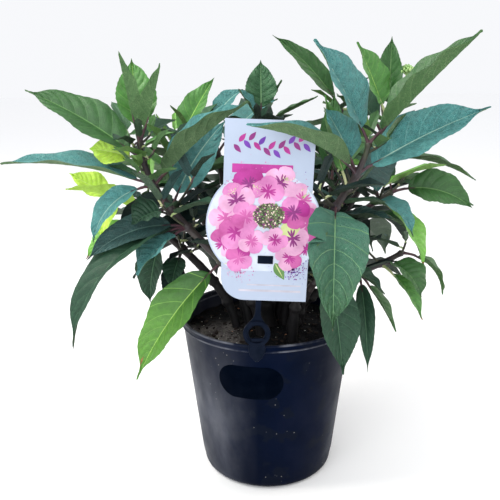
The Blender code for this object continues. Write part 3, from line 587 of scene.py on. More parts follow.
def labelOutline():
    # a card with square and round corners, and the disc that bulges out at both its sides
    half = label["width"] / 2
    lowRight, highRight = discCrossing(half)
    lowLeft, highLeft = discCrossing(-half)
    centre = (label["discSide"], label["discUp"])

    def onDisc(x, y):
        return math.degrees(math.atan2(y - centre[1], x - centre[0]))

    foot, top = label["footRound"], label["topRound"]
    loop = arc((-half + foot, foot), foot, 180, 270, 16) + [(half, 0)]
    loop += arc(centre, label["disc"], onDisc(half, lowRight), onDisc(half, highRight), 30)
    loop += arc((half - top, label["height"] - top), top, 0, 90, 16) + [(-half, label["height"])]
    leftSide = (onDisc(-half, y) % 360 for y in (highLeft, lowLeft))
    return loop + arc(centre, label["disc"], *leftSide, 40)


def rectangle(x, y, width, height):
    return [(x - width / 2, y - height / 2), (x + width / 2, y - height / 2),
            (x + width / 2, y + height / 2), (x - width / 2, y + height / 2)]


def plate(name, loops, thick, rounding):
    # a flat curve filled and given its thickness, then made a mesh that stands in the X-Z plane
    curve = bpy.data.curves.new(name, "CURVE")
    curve.dimensions = "2D"
    curve.fill_mode = "BOTH"
    curve.extrude = thick / 2
    for loop in loops:
        spline = curve.splines.new("POLY")
        spline.points.add(len(loop) - 1)
        for point, (x, y) in zip(spline.points, loop):
            point.co = (x, y, 0, 1)
        spline.use_cyclic_u = True
    obj = placed(name, curve)
    activate(obj)
    bpy.ops.object.convert(target="MESH")
    faceOutward(obj)
    soften(obj, rounding, 3, 50)
    for vertex in obj.data.vertices:
        x, y, z = vertex.co
        vertex.co = (x, -z, y)
    return obj


def standLabel(obj, y):
    tilt = math.radians(label["tilt"])
    for vertex in obj.data.vertices:
        x, z = vertex.co.x, vertex.co.z
        vertex.co.x = label["side"] + x * math.cos(tilt) + z * math.sin(tilt)
        vertex.co.z = label["foot"] - x * math.sin(tilt) + z * math.cos(tilt)
        vertex.co.y += y


def insideLabel(x, y, margin=0.0):
    half, top, foot = label["width"] / 2, label["topRound"], label["footRound"]
    inDisc = math.hypot(x - label["discSide"], y - label["discUp"]) < label["disc"] - margin
    inCard = abs(x) < half - margin and margin < y < label["height"] - margin
    if inCard and x > half - top and y > label["height"] - top:
        inCard = math.hypot(x - half + top, y - label["height"] + top) < top - margin
    if inCard and x < foot - half and y < foot:
        inCard = math.hypot(x + half - foot, y - foot) < foot - margin
    return inDisc or inCard


def overSlot(x, y, margin=0.0006):
    wide, tall = label["slot"]
    return abs(x - label["slotSide"]) < wide / 2 + margin and abs(y - label["slotUp"]) < tall / 2 + margin


def cardFinish(name, colour, spread=8, scale=60):
    # ink on a satin card, with a soft change of shade
    stops = [(0.32, [max(0, c - spread) for c in colour]), (0.68, [min(255, c + spread) for c in colour])]
    return grained(name, colour, (0.36, 0.5), (scale, 4), stops, ((1400, 2), 0.00002, 0.3)).material


# each ink's colour, how far it varies, and the scale of that
inks = dict(
    mist=((198, 206, 222), 10), grey=((188, 184, 196), 14), pink=((206, 124, 180), 18),
    blush=((216, 160, 196), 18), rose=((190, 84, 154), 18), magenta=((168, 36, 134), 14),
    plum=((132, 34, 116), 12), purple=((104, 44, 158), 14), lime=((196, 206, 142), 14),
    olive=((96, 100, 66), 16, 300), umber=((48, 44, 36), 14, 300), leaf=((96, 140, 74), 14),
    cream=((226, 208, 190), 12),
)
artwork = dict(
    step=0.00004, under=0.0002, margin=0.0006,
    heart=(0.002, 0.0880), heartSize=0.0142, heartFlat=0.86, beads=420, beadReach=(0.0152, 0.0132),
    # the bar and the ruled lines: middle, width, height
    bar=(-0.006, 0.1335, 0.058, 0.0085),
    lines=((0.006, 0.0105, 0.062, 0.0022), (0.010, 0.0165, 0.054, 0.0014)),
    # splashes: middle, reach, drops, inks
    splashes=(
        (-0.030, 0.118, 0.026, 120, ("pink", "rose", "magenta")),
        (0.022, 0.116, 0.024, 90, ("rose", "magenta", "purple")),
        (0.028, 0.034, 0.020, 420, ("purple", "plum", "purple")),
        (-0.002, 0.122, 0.030, 70, ("pink", "rose")),
        (-0.026, 0.032, 0.018, 220, ("rose", "pink", "blush")),
    ),
    # leaves: foot, angle, length
    leaves=((-0.016, 0.046, 200, 0.030), (0.028, 0.046, -18, 0.026), (-0.030, 0.100, 128, 0.018),
            (0.010, 0.040, 300, 0.020), (0.038, 0.082, 24, 0.016)),
    # blooms: middle and petal length. Those in limeBlooms are green
    blooms=(
        (-0.040, 0.084, 0.0170), (-0.042, 0.058, 0.0160), (-0.018, 0.118, 0.0170), (0.034, 0.104, 0.0180),
        (0.040, 0.056, 0.0160), (0.012, 0.121, 0.0165), (-0.026, 0.044, 0.0150), (0.024, 0.046, 0.0150),
        (-0.030, 0.102, 0.0185), (0.040, 0.080, 0.0180), (-0.030, 0.070, 0.0185), (0.026, 0.066, 0.0180),
        (-0.014, 0.062, 0.0150), (0.000, 0.112, 0.0160), (0.026, 0.092, 0.0170), (-0.020, 0.086, 0.0160),
        (0.009, 0.064, 0.0140),
    ),
    bloomInks=(("blush", "pink", "blush"), ("pink", "rose", "blush"), ("rose", "pink", "magenta"),
               ("blush", "pink", "rose")),
    limeBlooms=(4, 11), hearts=("rose", "magenta", "plum"), sprig=("plum", "magenta", "purple"),
    flecks=((-0.012, 0.116), (0.016, 0.124), (0.037, 0.110), (-0.034, 0.110)),
)


class Print:
    # motifs laid on the card as thin plates, each layer a little prouder than the last

    def __init__(self):
        self.points, self.faces, self.slots = [], [], []
        self.numbers = {name: number for number, name in enumerate(inks)}
        self.materials = [cardFinish("ink_" + name, *settings) for name, settings in inks.items()]

    def add(self, outline, layer, ink):
        onCard = all(insideLabel(x, y, artwork["margin"]) for x, y in outline)
        if not onCard or any(overSlot(x, y) for x, y in outline):
            return
        start, count = len(self.points), len(outline)
        front, back = -artwork["step"] * layer, artwork["under"]
        self.points += [(x, front, z) for x, z in outline] + [(x, back, z) for x, z in outline]
        self.faces.append(tuple(range(start, start + count)))
        self.faces.append(tuple(reversed(range(start + count, start + 2 * count))))
        for i in range(count):
            j = (i + 1) % count
            self.faces.append((start + j, start + i, start + count + i, start + count + j))
        self.slots += [self.numbers[ink]] * (count + 2)


def turned(points, x, y, angle):
    c, s = math.cos(math.radians(angle)), math.sin(math.radians(angle))
    return [(x + u * c - v * s, y + u * s + v * c) for u, v in points]


def petal(x, y, angle, length, breadth, notch=0.12, steps=9):
    # a broad petal from its claw, with a shallow notch in its tip
    seen = {}
    for side in (-1, 1):
        for i in range(steps + 1):
            t = i / steps if side < 0 else 1 - i / steps
            half = breadth / 2 * math.sin(math.pi * t**1.35) ** 0.7
            along = length * (t - notch * max(0, t - 0.85) * (1 - abs(half) / breadth))
            seen.setdefault((round(along, 6), round(side * half, 6)), (along, side * half))
    return turned(seen.values(), x, y, angle)


def floret(sheet, dice, x, y, size, layer, shades, heart, petals=4):
    turn = dice.uniform(0, 90)
    for i in range(petals):
        angle = turn + 360 / petals * i + dice.uniform(-6, 6)
        length = size * dice.uniform(0.92, 1.06)
        sheet.add(petal(x, y, angle, length, length * 1.02), layer + 0.5 * i, dice.choice(shades))
        for aside in (-22, 0, 22):
            streak = petal(x, y, angle + aside, length * 0.5, length * 0.10)
            sheet.add(streak, layer + 0.5 * i + 0.25, heart)
    sheet.add(arc((x, y), size * 0.12, 0, 330, 11), layer + 0.5 * petals + 0.5, heart)


def leafShape(x, y, angle, length, breadth, steps=9):
    right = []
    for i in range(steps + 1):
        right.append((length * i / steps, breadth / 2 * math.sin(math.pi * (i / steps) ** 0.8)))
    return turned(right + [(u, -v) for u, v in reversed(right[1:-1])], x, y, angle)


def splash(sheet, dice, x, y, reach, count, layer, shades, rise=1.0):
    for _ in range(count):
        out = reach * abs(dice.gauss(0, 0.5))
        a = dice.uniform(0, 2 * math.pi)
        size = 0.0002 + 0.00055 * dice.random() ** 2
        centre = (x + out * math.cos(a), y + rise * out * math.sin(a))
        sheet.add(arc(centre, size, 0, 300, 5), layer, dice.choice(shades))


def makePrint():
    dice = random.Random("print")
    sheet = Print()
    # a plain panel over the round part, and a bar in the bare band above it
    panel = arc((label["discSide"], label["discUp"]), label["disc"] - 0.0012, -58, 238, 60)
    sheet.add([p for p in panel if insideLabel(*p, 0.0007)], 1, "mist")
    sheet.add(rectangle(*artwork["bar"]), 2, "magenta")
    # a sprig over the bar, drops of colour round the blooms
    for i in range(15):
        x, rise = -0.034 + 0.0047 * i, 0.0042 * math.sin(0.62 * i)
        blade = leafShape(x, 0.1560 + rise, 52 if i % 2 else -48, 0.0105, 0.0046)
        sheet.add(blade, 2 + 0.1 * i, artwork["sprig"][i % 3])
    for x, y, reach, count, shades in artwork["splashes"]:
        splash(sheet, dice, x, y, reach, count, 3, shades, 0.7)
    for x, y, angle, length in artwork["leaves"]:
        sheet.add(leafShape(x, y, angle, length, length * 0.5), 3.5, "leaf")
        sheet.add(leafShape(x, y, angle, length * 0.9, length * 0.06), 3.8, "lime")
    for k, (x, y, size) in enumerate(artwork["blooms"]):
        shades = ("blush", "lime") if k in artwork["limeBlooms"] else artwork["bloomInks"][k % 4]
        floret(sheet, dice, x, y, size, 4 + 1.3 * k, shades, artwork["hearts"][k % 3])
    # the beaded heart
    (x0, y0), flat = artwork["heart"], artwork["heartFlat"]
    core = arc((x0, y0), artwork["heartSize"], 0, 350, 36)
    sheet.add([(x, y0 + flat * (y - y0)) for x, y in core], 28.5, "umber")
    for _ in range(artwork["beads"]):
        u, a = math.sqrt(dice.random()), dice.uniform(0, 2 * math.pi)
        wide, tall = artwork["beadReach"]
        x, y = x0 + wide * u * math.cos(a), y0 + tall * u * math.sin(a)
        shade = dice.choice(("olive", "olive", "olive", "leaf", "cream", "plum"))
        sheet.add(arc((x, y), dice.uniform(0.0005, 0.0010), 0, 300, 5), 29 + dice.random(), shade)
    for x, y in artwork["flecks"]:
        splash(sheet, dice, x, y, 0.007, 26, 25.5, ("lime", "cream"))
    for line in artwork["lines"]:
        sheet.add(rectangle(*line), 2, "grey")
    whole = fromArrays("label_print", sheet.points, sheet.faces, sheet.materials, sheet.slots)
    faceOutward(whole, 0.0000005)
    standLabel(whole, labelFace)
    standsFor(whole, "label_card", "plant_label")


def makeLabel():
    slot = rectangle(label["slotSide"], label["slotUp"], *label["slot"])
    card = plate("label_sheet", [labelOutline(), slot], label["thick"], label["edge"])
    standLabel(card, labelFace + label["thick"] / 2)
    finished(card, cardFinish("card_white", (170, 182, 203), 5, 12), 40, "label_card", "plant_label")
    makePrint()
    makeHook()
    print("label done")


def hookPlastic():
    black = grained(
        "hook_plastic", (14, 16, 26), (0.38, 0.10), (120, 4), [(0.35, (6, 9, 20)), (0.7, (17, 20, 32))],
        ((1100, 2), 0.00004, 0.4), reflection=(0.3, 0.55, 1.0),
    )
    return black.roughness(black.levels(black.noise(90, 3), 0.3, 0.7, 0.30, 0.48)).material


def hookEdge(way, centre, lean):
    # one edge of the strap, ring and tongue, from the label's slot down. way: -1 left, 1 right
    rim, half, side = pot["height"], hook["strap"] / 2, hook["side"]
    ring = math.radians(38)
    edge = hook["outer"] * math.sin(ring)
    low, high = centre[1] + hook["outer"] * math.cos(ring), centre[1] + hook["outer"] + 0.010
    top = label["foot"] + label["slotUp"] + label["slot"][1] / 2
    line = [(side + way * half + lean, top)]
    for i in range(9):
        wide = half + (edge - half) * (i / 8) ** 2.2
        line.append((side + way * wide + 0.4 * lean * (1 - i / 8), high - (high - low) * i / 8))
    line += arc(centre, hook["outer"], 90 - 42 * way, 90 - 145 * way, 20)
    broad, drop = hook["tongue"]
    for out, down in ((0.5, 0.16), (0.40, 0.55), (0.20, 0.84), (0.06, 0.98)):
        line.append((side + way * out * broad, rim - down * drop))
    return line


def makeHook():
    rim, side, thick = pot["height"], hook["side"], hook["thick"]
    centre = (side, rim + hook["up"])
    top = label["foot"] + label["slotUp"] + label["slot"][1] / 2
    lean = math.tan(math.radians(label["tilt"])) * (top - centre[1])
    left, right = hookEdge(-1, centre, lean), hookEdge(1, centre, lean)
    hole = arc(centre, hook["inner"], 0, 352, 44)
    strap = plate("hook_strap", [right[:1] + left + right[:0:-1], hole], thick, hook["round"])
    for vertex in strap.data.vertices:
        vertex.co.y += hookPlane
    pieces = [strap]
    # the saddle over the rim, the leg behind it, the bar across the ring and the tab in the label's slot
    legWide, legDrop = hook["leg"]
    clear = wallRadius(rim - legDrop) - pot["wall"] - gap
    legFront = -math.sqrt(clear**2 - (abs(side) + legWide / 2) ** 2)
    legBack = legFront + thick
    over = rim + gap
    boxes = (
        ((side, (hookPlane + legBack) / 2, over + thick / 2), (legWide, legBack - hookPlane, thick)),
        ((side, legFront + thick / 2, over + thick - legDrop / 2), (legWide, thick, legDrop)),
        ((side + 0.0015, hookPlane - 0.0006, rim + 0.0085), (0.0150, 0.0030, 0.0034)),
    )
    for place, size in boxes:
        pieces.append(roundedBar("hook_bar", place, size, hook["barRound"]))
    wide, tall = label["slot"]
    slot, size = (label["slotSide"], 0, label["slotUp"]), (wide - 2 * gap, hook["tabThick"], tall - 2 * gap)
    tab = roundedBar("hook_tab", slot, size, hook["tabRound"])
    standLabel(tab, hookPlane - thick / 2 - 0.0006)
    pieces.append(tab)
    lipRadii = (hook["outer"] - hook["lipInset"], hook["inner"] + hook["lipInside"])
    rounds = [arc(centre, radius, 0, 352, 44) for radius in lipRadii]
    lip = plate("ring_lip", rounds, hook["lipThick"], hook["lipRound"])
    for vertex in lip.data.vertices:
        vertex.co.y += hookPlane - hook["lipBack"]
    pieces.append(lip)
    finished(joined("hook_moulding", pieces), hookPlastic(), 45, "hook_plastic", "label_hook")


def roundedBar(name, place, size, rounding):
    bar = added(bpy.ops.mesh.primitive_cube_add, name, size=1, location=place)
    bar.scale = size
    settle(bar)
    editing(bar, "EDGE")
    bpy.ops.mesh.bevel(offset=rounding, segments=3)
    objectMode()
    return bar


# The shrub's growth rule and its shoots

growth = dict(
    cane=0.0052, tip=0.0027, twig=0.0014, bud=0.009, twigBud=0.004, pull=(1.0, 1.0), climb=20,
    length=0.105, breadth=0.40, fold=24.0, thick=0.0017, steps=24, petiole=0.018, petioleRadius=0.0012,
    clearance=0.0009, lowest=0.012, stalkAngle=5, stalkRise=58, stalkLength=0.052,
)
# side shoots. pairs: where their leaves stand and how long these are. turn: away from the leaves' angle
twigs = dict(
    rise=(20, 45), length=(0.030, 0.048), pairs=((0.62, 0.058), (1.0, 0.046)), petiole=0.006, turn=20,
)
finer = dict(
    rise=(10, 60), length=(0.014, 0.026), pairs=((0.5, 0.040), (1.0, 0.030)), petiole=0.004, turn=200,
)
between = dict(finer, turn=65, below=0.04)
smallLeaf = dict(rise=35, tipRise=30, bend=(20, 45), vary=(0.85, 1.15), broad=1.1, roll=15, thin=0.7)
# the rule's leaves grow shorter, steeper and straighter from a shoot's lowest joint to its tip
rule = dict(longest=1.10, shorter=0.35, rise=12, steeper=48, leanOut=6, bend=62, straighter=34)
cuts = (0.14, 0.34, 0.56, 0.78)  # where a leaf's plain shape has its cross-sections
# how a leaf is turned, in angle and rise, until it stands clear of the others
turns = (
    (0, 0), (6, 0), (-6, 0), (0, 6), (0, -6), (12, 0), (-12, 0), (0, 12), (0, -12),
    (18, 8), (-18, 8), (18, -12), (-18, -12), (30, 0), (-30, 0),
)
# foot: angle and distance from the pot's axis. tip: angle, distance and height.
# lean: degrees from upright at foot and tip. joints: where leaf pairs stand. turn: angle of the first pair.
# leaves, by joint and side: (tone, angle, rise, bend, length, width, roll, sweep, fold), in degrees and mm
shoots = {
    "left_front": dict(
        foot=(255, 0.032), tip=(201, 0.139, 0.391), lean=(0, 2), enter=0.34,
        joints=(0.39, 0.60, 0.70, 0.82, 0.93, 1.0), turn=110,
        leaves={
            (0, 0): ("sunny", 203, -36, 28, 142, 56, 30), (1, 0): ("dark", 210, 5, 90, 175, 46, 10),
            (1, 2): ("teal", 220, -5, 40, 60, 46, 0), (1, 3): ("slate", 201, 12, 62, 100, 34, 45),
            (2, 0): ("teal", 20, 70, 30, 95, 44, -55, 0, 12), (2, 1): ("dark", 205, 10, 45, 35, 45, 20),
            (3, 0): ("teal", 185, 25, 30, 140, 42, 10),
            (3, 1): ("teal", 340, 50, 20, 120, 44, -18, 0, 55),
            (3, 2): ("teal", 205, 5, 85, 76, 28, 35), (4, 0): ("green", 170, 40, 20, 125, 50, 35),
            (4, 1): ("lime", 165, 8, 20, 46, 42, 50), (5, 0): ("green", 200, 80, 0, 75, 24, 0, 0, 60),
            (5, 1): ("green", 340, 75, -5, 66, 24, 0, 0, 60), (5, 2): ("bright", 105, 68, 5, 74, 46, 0),
        },
    ),
    "right_front": dict(
        foot=(300, 0.055), tip=(318, 0.130, 0.394), lean=(0, 10), pull=(1.6, 0.7), enter=0.6,
        joints=(0.69, 0.79, 0.86, 1.0), turn=60,
        leaves={
            (0, 0): ("sea", 257, 0, 80, 135, 66, 15), (1, 0): ("slate", 45, 25, 20, 75, 44, -70, 0, 10),
            (1, 1): ("bright", 180, 72, -6, 77, 30, 55),
            (2, 0): ("teal", 230, 42, 35, 118, 36, 8, -50, 50),
            (2, 1): ("teal", 350, 42, 15, 122, 56, -45), (2, 2): ("teal", 195, 72, 20, 58, 40, 65),
            (3, 0): ("teal", 210, 62, 12, 100, 52, 65),
            (3, 1): ("green", 340, 49, 4, 124, 50, -14, 0, 45),
        },
    ),
    "left_rear": dict(
        foot=(180, 0.0205), tip=(150, 0.122, 0.368), lean=(8, 10), enter=0.45,
        joints=(0.5, 0.66, 0.82, 1.0), turn=20,
        leaves={
            (3, 0): ("bright", 0, 65, 10, 78, 38, -55), (3, 1): ("fresh", 190, 75, 10, 35, 12, 0),
            (3, 2): ("green", 185, 50, 60, 45, 30, 20), (2, 1): ("green", 165, 15, 50, 45, 30, 30),
        },
    ),
    "centre_left": dict(
        foot=(136, 0.0205), tip=(140, 0.078, 0.392), lean=(2, 8), enter=0.5,
        joints=(0.58, 0.74, 0.88, 1.0), turn=60,
        leaves={
            (3, 0): ("teal", 355, 80, 55, 45, 28, -50), (3, 1): ("dark", 262, -10, 30, 40, 24, 0),
        },
    ),
    "centre": dict(
        foot=(92, 0.0205), tip=(94, 0.062, 0.398), lean=(0, 6), enter=0.5,
        joints=(0.58, 0.74, 0.88, 1.0), turn=10,
        leaves={
            (3, 0): ("jade", 90, 84, 8, 55, 40, 0), (3, 1): ("teal", 210, 55, 10, 40, 24, 50),
            (3, 2): ("green", 0, 25, 0, 55, 16, 0),
        },
    ),
    "right_inner": dict(
        foot=(0, 0.0205), tip=(356, 0.072, 0.335), lean=(2, 10), enter=0.5,
        joints=(0.58, 0.76, 1.0), turn=80,
        leaves={(2, 0): ("green", 80, 88, 8, 85, 34, 0), (1, 1): ("slate", 344, 12, 20, 70, 36, 0)},
    ),
    "right_top": dict(
        foot=(24, 0.037), tip=(12, 0.139, 0.405), lean=(4, 6), enter=0.45,
        joints=(0.52, 0.68, 0.82, 0.92, 1.0), turn=30, blossom=True,
        leaves={
            (4, 0): ("bright", 200, 68, 8, 75, 42, 65), (4, 1): ("green", 80, 80, -10, 72, 34, 0),
            (2, 1): ("green", 0, 10, 45, 105, 30, 0),
        },
    ),
    "right_rear": dict(
        foot=(48, 0.0205), tip=(47, 0.137, 0.410), lean=(6, 8), enter=0.45,
        joints=(0.52, 0.68, 0.84, 1.0), turn=0,
        leaves={
            (3, 0): ("green", 190, 58, 25, 105, 30, 65), (3, 1): ("bright", 340, 0, 30, 45, 28, 0),
        },
    ),
    "right_side": dict(
        foot=(352, 0.037), tip=(355, 0.137, 0.330), lean=(10, 62), enter=0.55,
        joints=(0.66, 0.80, 0.92, 1.0), turn=80,
        leaves={
            (3, 0): ("green", 342, 24, 65, 74, 44, -50), (3, 1): ("dark", 100, 65, 10, 36, 16, 0),
            (2, 0): ("fresh", 318, -20, 55, 72, 38, 0), (2, 1): ("teal", 110, 65, 10, 20, 14, 0),
            (1, 0): ("teal", 295, 50, 120, 72, 32, 0), (2, 2): ("green", 0, -5, 50, 32, 20, 0),
            (1, 1): ("jade", 340, 10, 60, 45, 24, 0),
        },
    ),
    "right_low": dict(
        foot=(330, 0.030), tip=(346, 0.150, 0.268), lean=(10, 55), enter=0.55,
        joints=(0.68, 0.84, 1.0), turn=80,
        leaves={
            (0, 0): ("dark", 270, -20, 55, 100, 22, 0), (1, 0): ("green", 315, 25, 95, 52, 42, 0),
            (1, 2): ("bright", 315, -20, 45, 60, 24, 0), (2, 1): ("green", 345, 0, 90, 55, 24, 0),
            (2, 0): ("green", 5, 56, -10, 54, 34, -40), (0, 2): ("green", 335, -45, 20, 60, 22, 0),
        },
    ),
    "left_low": dict(
        foot=(192, 0.036), tip=(173, 0.165, 0.318), lean=(12, 50), enter=0.5,
        joints=(0.56, 0.70, 0.84, 1.0), turn=80,
        leaves={
            (1, 0): ("dark", 240, -45, 45, 65, 40, 0), (0, 0): ("deep", 250, -45, 30, 52, 32, 0),
            (0, 2): ("dark", 255, -35, 35, 40, 30, 0), (3, 0): ("lime", 250, 10, 90, 50, 30, 0),
            (3, 1): ("lime", 185, 24, -10, 50, 34, 50), (2, 0): ("fresh", 195, -15, 35, 65, 32, 40),
        },
    ),
    "front_low": dict(
        foot=(312, 0.042), tip=(314, 0.092, 0.264), lean=(12, 45), enter=0.6,
        joints=(0.72, 1.0), turn=60,
        leaves={(1, 0): ("dark", 284, -58, 15, 96, 48, 0), (1, 1): ("dark", 345, 0, 50, 50, 30, 0)},
    ),
    "back_left": dict(
        foot=(135, 0.036), tip=(128, 0.165, 0.352), lean=(10, 30), enter=0.45,
        joints=(0.5, 0.64, 0.77, 0.89, 1.0), turn=40,
    ),
    "back_centre": dict(
        foot=(96, 0.038), tip=(92, 0.172, 0.366), lean=(8, 28), enter=0.45,
        joints=(0.5, 0.64, 0.77, 0.89, 1.0), turn=0,
    ),
    "back_right": dict(
        foot=(56, 0.038), tip=(52, 0.172, 0.342), lean=(10, 34), enter=0.45,
        joints=(0.5, 0.64, 0.77, 0.89, 1.0), turn=50,
    ),
}
# leaves with a mark of their own: share of the blade where it browns, a tear as side, place and depth,
# a brown spot, or a tone that its place would not give it
marks = {
    ("right_front", (0, 0)): dict(scorch=0.97, cut=(1, 0.273, 0.62)),
    ("left_front", (0, 0)): dict(spot=(0.80, 0.35)),
    ("left_low", (2, 0)): dict(scorch=0.90),
    ("left_low", (2, 1)): dict(tone="lime"),
    ("right_side", (2, 0)): dict(scorch=0.93),
    ("right_low", (1, 2)): dict(scorch=0.93),
}


def heading(angle, rise):
    a, r = math.radians(angle), math.radians(rise)
    return np.array([math.cos(r) * math.cos(a), math.cos(r) * math.sin(a), math.sin(r)])


def atAngle(angle, distance, height):
    a = math.radians(angle)
    return np.array([distance * math.cos(a), distance * math.sin(a), height])


class Line:
    # a smooth line through points, read by shares of its length
    look = 0.06  # how far before and behind its direction is taken

    def __init__(self, points, grid=None):
        self.points = np.array(points, float)
        self.grid = np.linspace(0, 1, len(self.points)) if grid is None else grid
        span = self.points[-1] - self.points[0]
        self.angle = math.degrees(math.atan2(span[1], span[0]))

    def point(self, share):
        return np.array([np.interp(share * self.grid[-1], self.grid, self.points[:, i]) for i in range(3)])

    def direction(self, share):
        ahead = self.point(min(1.0, share + self.look)) - self.point(max(0.0, share - self.look))
        return ahead / max(1e-9, np.linalg.norm(ahead))

    def level(self):
        a = math.radians(self.angle)
        return np.array([math.sin(a), -math.cos(a), 0.0])


class Course(Line):
    # the line of one shoot, from the potting mix to its tip
    look = 0.01

    def __init__(self, shoot, steps=80):
        start = atAngle(*shoot["foot"], mix["top"] + mix["heap"] + gap)
        end = atAngle(*shoot["tip"])
        span = end - start
        angle = math.degrees(math.atan2(span[1], span[0]))
        reach = np.linalg.norm(span)
        lean, pull = shoot["lean"], shoot.get("pull", growth["pull"])
        out = heading(angle, 90 - lean[0]) * reach * pull[0]
        into = heading(angle, 90 - lean[1]) * reach * pull[1]
        u = np.linspace(0, 1, steps + 1)[:, None]
        points = (
            (2 * u**3 - 3 * u**2 + 1) * start + (u**3 - 2 * u**2 + u) * out
            + (3 * u**2 - 2 * u**3) * end + (u**3 - u**2) * into
        )
        along = np.concatenate([[0], np.cumsum(np.linalg.norm(np.diff(points, axis=0), axis=1))])
        super().__init__(points, along)
        self.length = along[-1]


class Twig(Line):
    # a short side shoot that curves upward from a joint of its stem

    def __init__(self, root, angle, rise, length, steps=8):
        points = [np.array(root, float)]
        for i in range(steps):
            points.append(points[-1] + heading(angle, rise + growth["climb"] * i / steps) * length / steps)
        super().__init__(points)
        self.angle, self.rise = angle, rise

    def direction(self, share):
        return heading(self.angle, self.rise + growth["climb"] * share)


def radiusAt(share):
    return growth["cane"] + (growth["tip"] - growth["cane"]) * share**1.6


def budTip(course, length):
    return course.point(1.0) + course.direction(1.0) * length


def outline(share):
    return math.sin(math.pi * share**0.8) ** 0.85 * (1 - 0.35 * share**2) / 0.95


def leafLine(leaf, shares):
    # centre, across, normal and heading at shares of the whole leaf, its petiole included
    steps = growth["steps"]
    whole = leaf["petiole"] + leaf["length"]

    def aim(share):
        a = np.radians(leaf["angle"] + leaf.get("sweep", 0) * share)
        r = np.radians(leaf["rise"] - leaf["bend"] * share)
        ahead = np.stack([np.cos(r) * np.cos(a), np.cos(r) * np.sin(a), np.sin(r)], axis=-1)
        level = np.stack([np.sin(a), -np.cos(a), 0 * a], axis=-1)
        return ahead, level

    middles = (np.arange(steps) + 0.5) / steps
    centres = np.vstack([[leaf["root"]], leaf["root"] + np.cumsum(aim(middles)[0] * whole / steps, axis=0)])
    grid = np.linspace(0, 1, steps + 1)
    shares = np.asarray(shares, float)
    centre = np.stack([np.interp(shares, grid, centres[:, i]) for i in range(3)], axis=-1)
    ahead, level = aim(shares)
    upper = np.cross(level, ahead)
    roll = math.radians(leaf["roll"])
    across = level * math.cos(roll) + upper * math.sin(roll)
    normal = upper * math.cos(roll) - level * math.sin(roll)
    return centre, across, normal, ahead


def leafRings(leaf, spare=0.0, skip=0.0):
    # the leaf's plain four-sided cross-sections, for keeping leaves apart
    base = leaf["petiole"] / (leaf["petiole"] + leaf["length"])
    shares = [skip * base, base] + [base + (1 - base) * cut for cut in cuts] + [1.0]
    centre, across, normal, _ = leafLine(leaf, shares)
    fold = math.radians(leaf.get("fold", growth["fold"]))
    rings = []
    for i in range(len(shares) - 1):
        if i < 2:
            side = (growth["petioleRadius"] + spare) * across[i]
            over = (growth["petioleRadius"] + spare) * normal[i]
            lift = 0 * over
        else:
            cut = cuts[i - 2]
            half = leaf["width"] / 2 * outline(cut)
            side = (half + spare) * math.cos(fold) * across[i]
            over = (leaf["thick"] / 2 * (1 - 0.35 * cut) + spare) * normal[i]
            lift = half * math.sin(fold) * normal[i]
        rings.append([centre[i] + side + lift, centre[i] + over, centre[i] - side + lift, centre[i] - over])
    return rings, centre[-1]


def loft(rings, tip=None):
    count = len(rings[0])
    points = [point for ring in rings for point in ring]
    faces = [tuple(range(count))]
    for row in range(len(rings) - 1):
        for i in range(count):
            j = (i + 1) % count
            low, high = row * count, (row + 1) * count
            faces.append((low + i, high + i, high + j, low + j))
    last = (len(rings) - 1) * count
    if tip is None:
        faces.append(tuple(reversed(range(last, last + count))))
    else:
        points.append(tip)
        faces += [(last + i, len(points) - 1, last + (i + 1) % count) for i in range(count)]
    return [tuple(point) for point in points], faces


def tubeRings(course, shares, radii, sides):
    rings = []
    level = course.level()
    for share, radius in zip(shares, radii):
        upper = np.cross(level, course.direction(share))
        centre = course.point(share)
        around = (2 * math.pi * i / sides for i in range(sides))
        rings.append([centre + radius * (math.cos(a) * level + math.sin(a) * upper) for a in around])
    return rings


def ruleLeaf(course, share, rank, angle, dice):
    # rank: 0 at the shoot's lowest joint, 1 at its tip
    length = growth["length"] * (rule["longest"] - rule["shorter"] * rank**2) * dice.uniform(0.9, 1.1)
    leanOut = math.cos(math.radians(angle - course.angle))
    return dict(
        root=course.point(share), angle=angle + dice.uniform(-10, 10),
        rise=rule["rise"] + rule["steeper"] * rank - rule["leanOut"] * leanOut + dice.uniform(-7, 7),
        bend=rule["bend"] - rule["straighter"] * rank + dice.uniform(-8, 8), length=length,
        width=length * growth["breadth"] * dice.uniform(0.92, 1.08),
        roll=dice.uniform(-14, 14), petiole=growth["petiole"] * dice.uniform(0.9, 1.15),
        thick=growth["thick"], kind="rule",
    )


def setLeaf(course, share, settings):
    tone, angle, rise, bend, length, width, roll = settings[:7]
    sweep, fold = [*settings[7:], *(0, growth["fold"])[len(settings) - 7:]]
    length, width = length / 1000, width / 1000
    return dict(
        sweep=sweep, fold=fold, root=course.point(share), angle=angle, rise=rise, bend=bend,
        length=length, width=width, roll=roll, petiole=min(growth["petiole"], 0.25 * length + 0.004),
        thick=max(0.8 * growth["thick"], 0.012 * length), tone=tone, kind="posed",
    )


class Crowd:
    # what already stands, so that a new leaf or twig can keep clear of it

    def __init__(self):
        self.things = []

    def add(self, owner, skin):
        self.things.append((owner, *self.measured(skin)))

    @staticmethod
    def measured(skin):
        points = np.array(skin[0])
        return points.min(axis=0), points.max(axis=0), BVHTree.FromPolygons(*skin)

    def clashes(self, skin, leaveOut=()):
        low, high, tree = self.measured(skin)
        for owner, otherLow, otherHigh, other in self.things:
            if owner in leaveOut or (low > otherHigh).any() or (high < otherLow).any():
                continue
            if tree.overlap(other):
                return owner
        return None


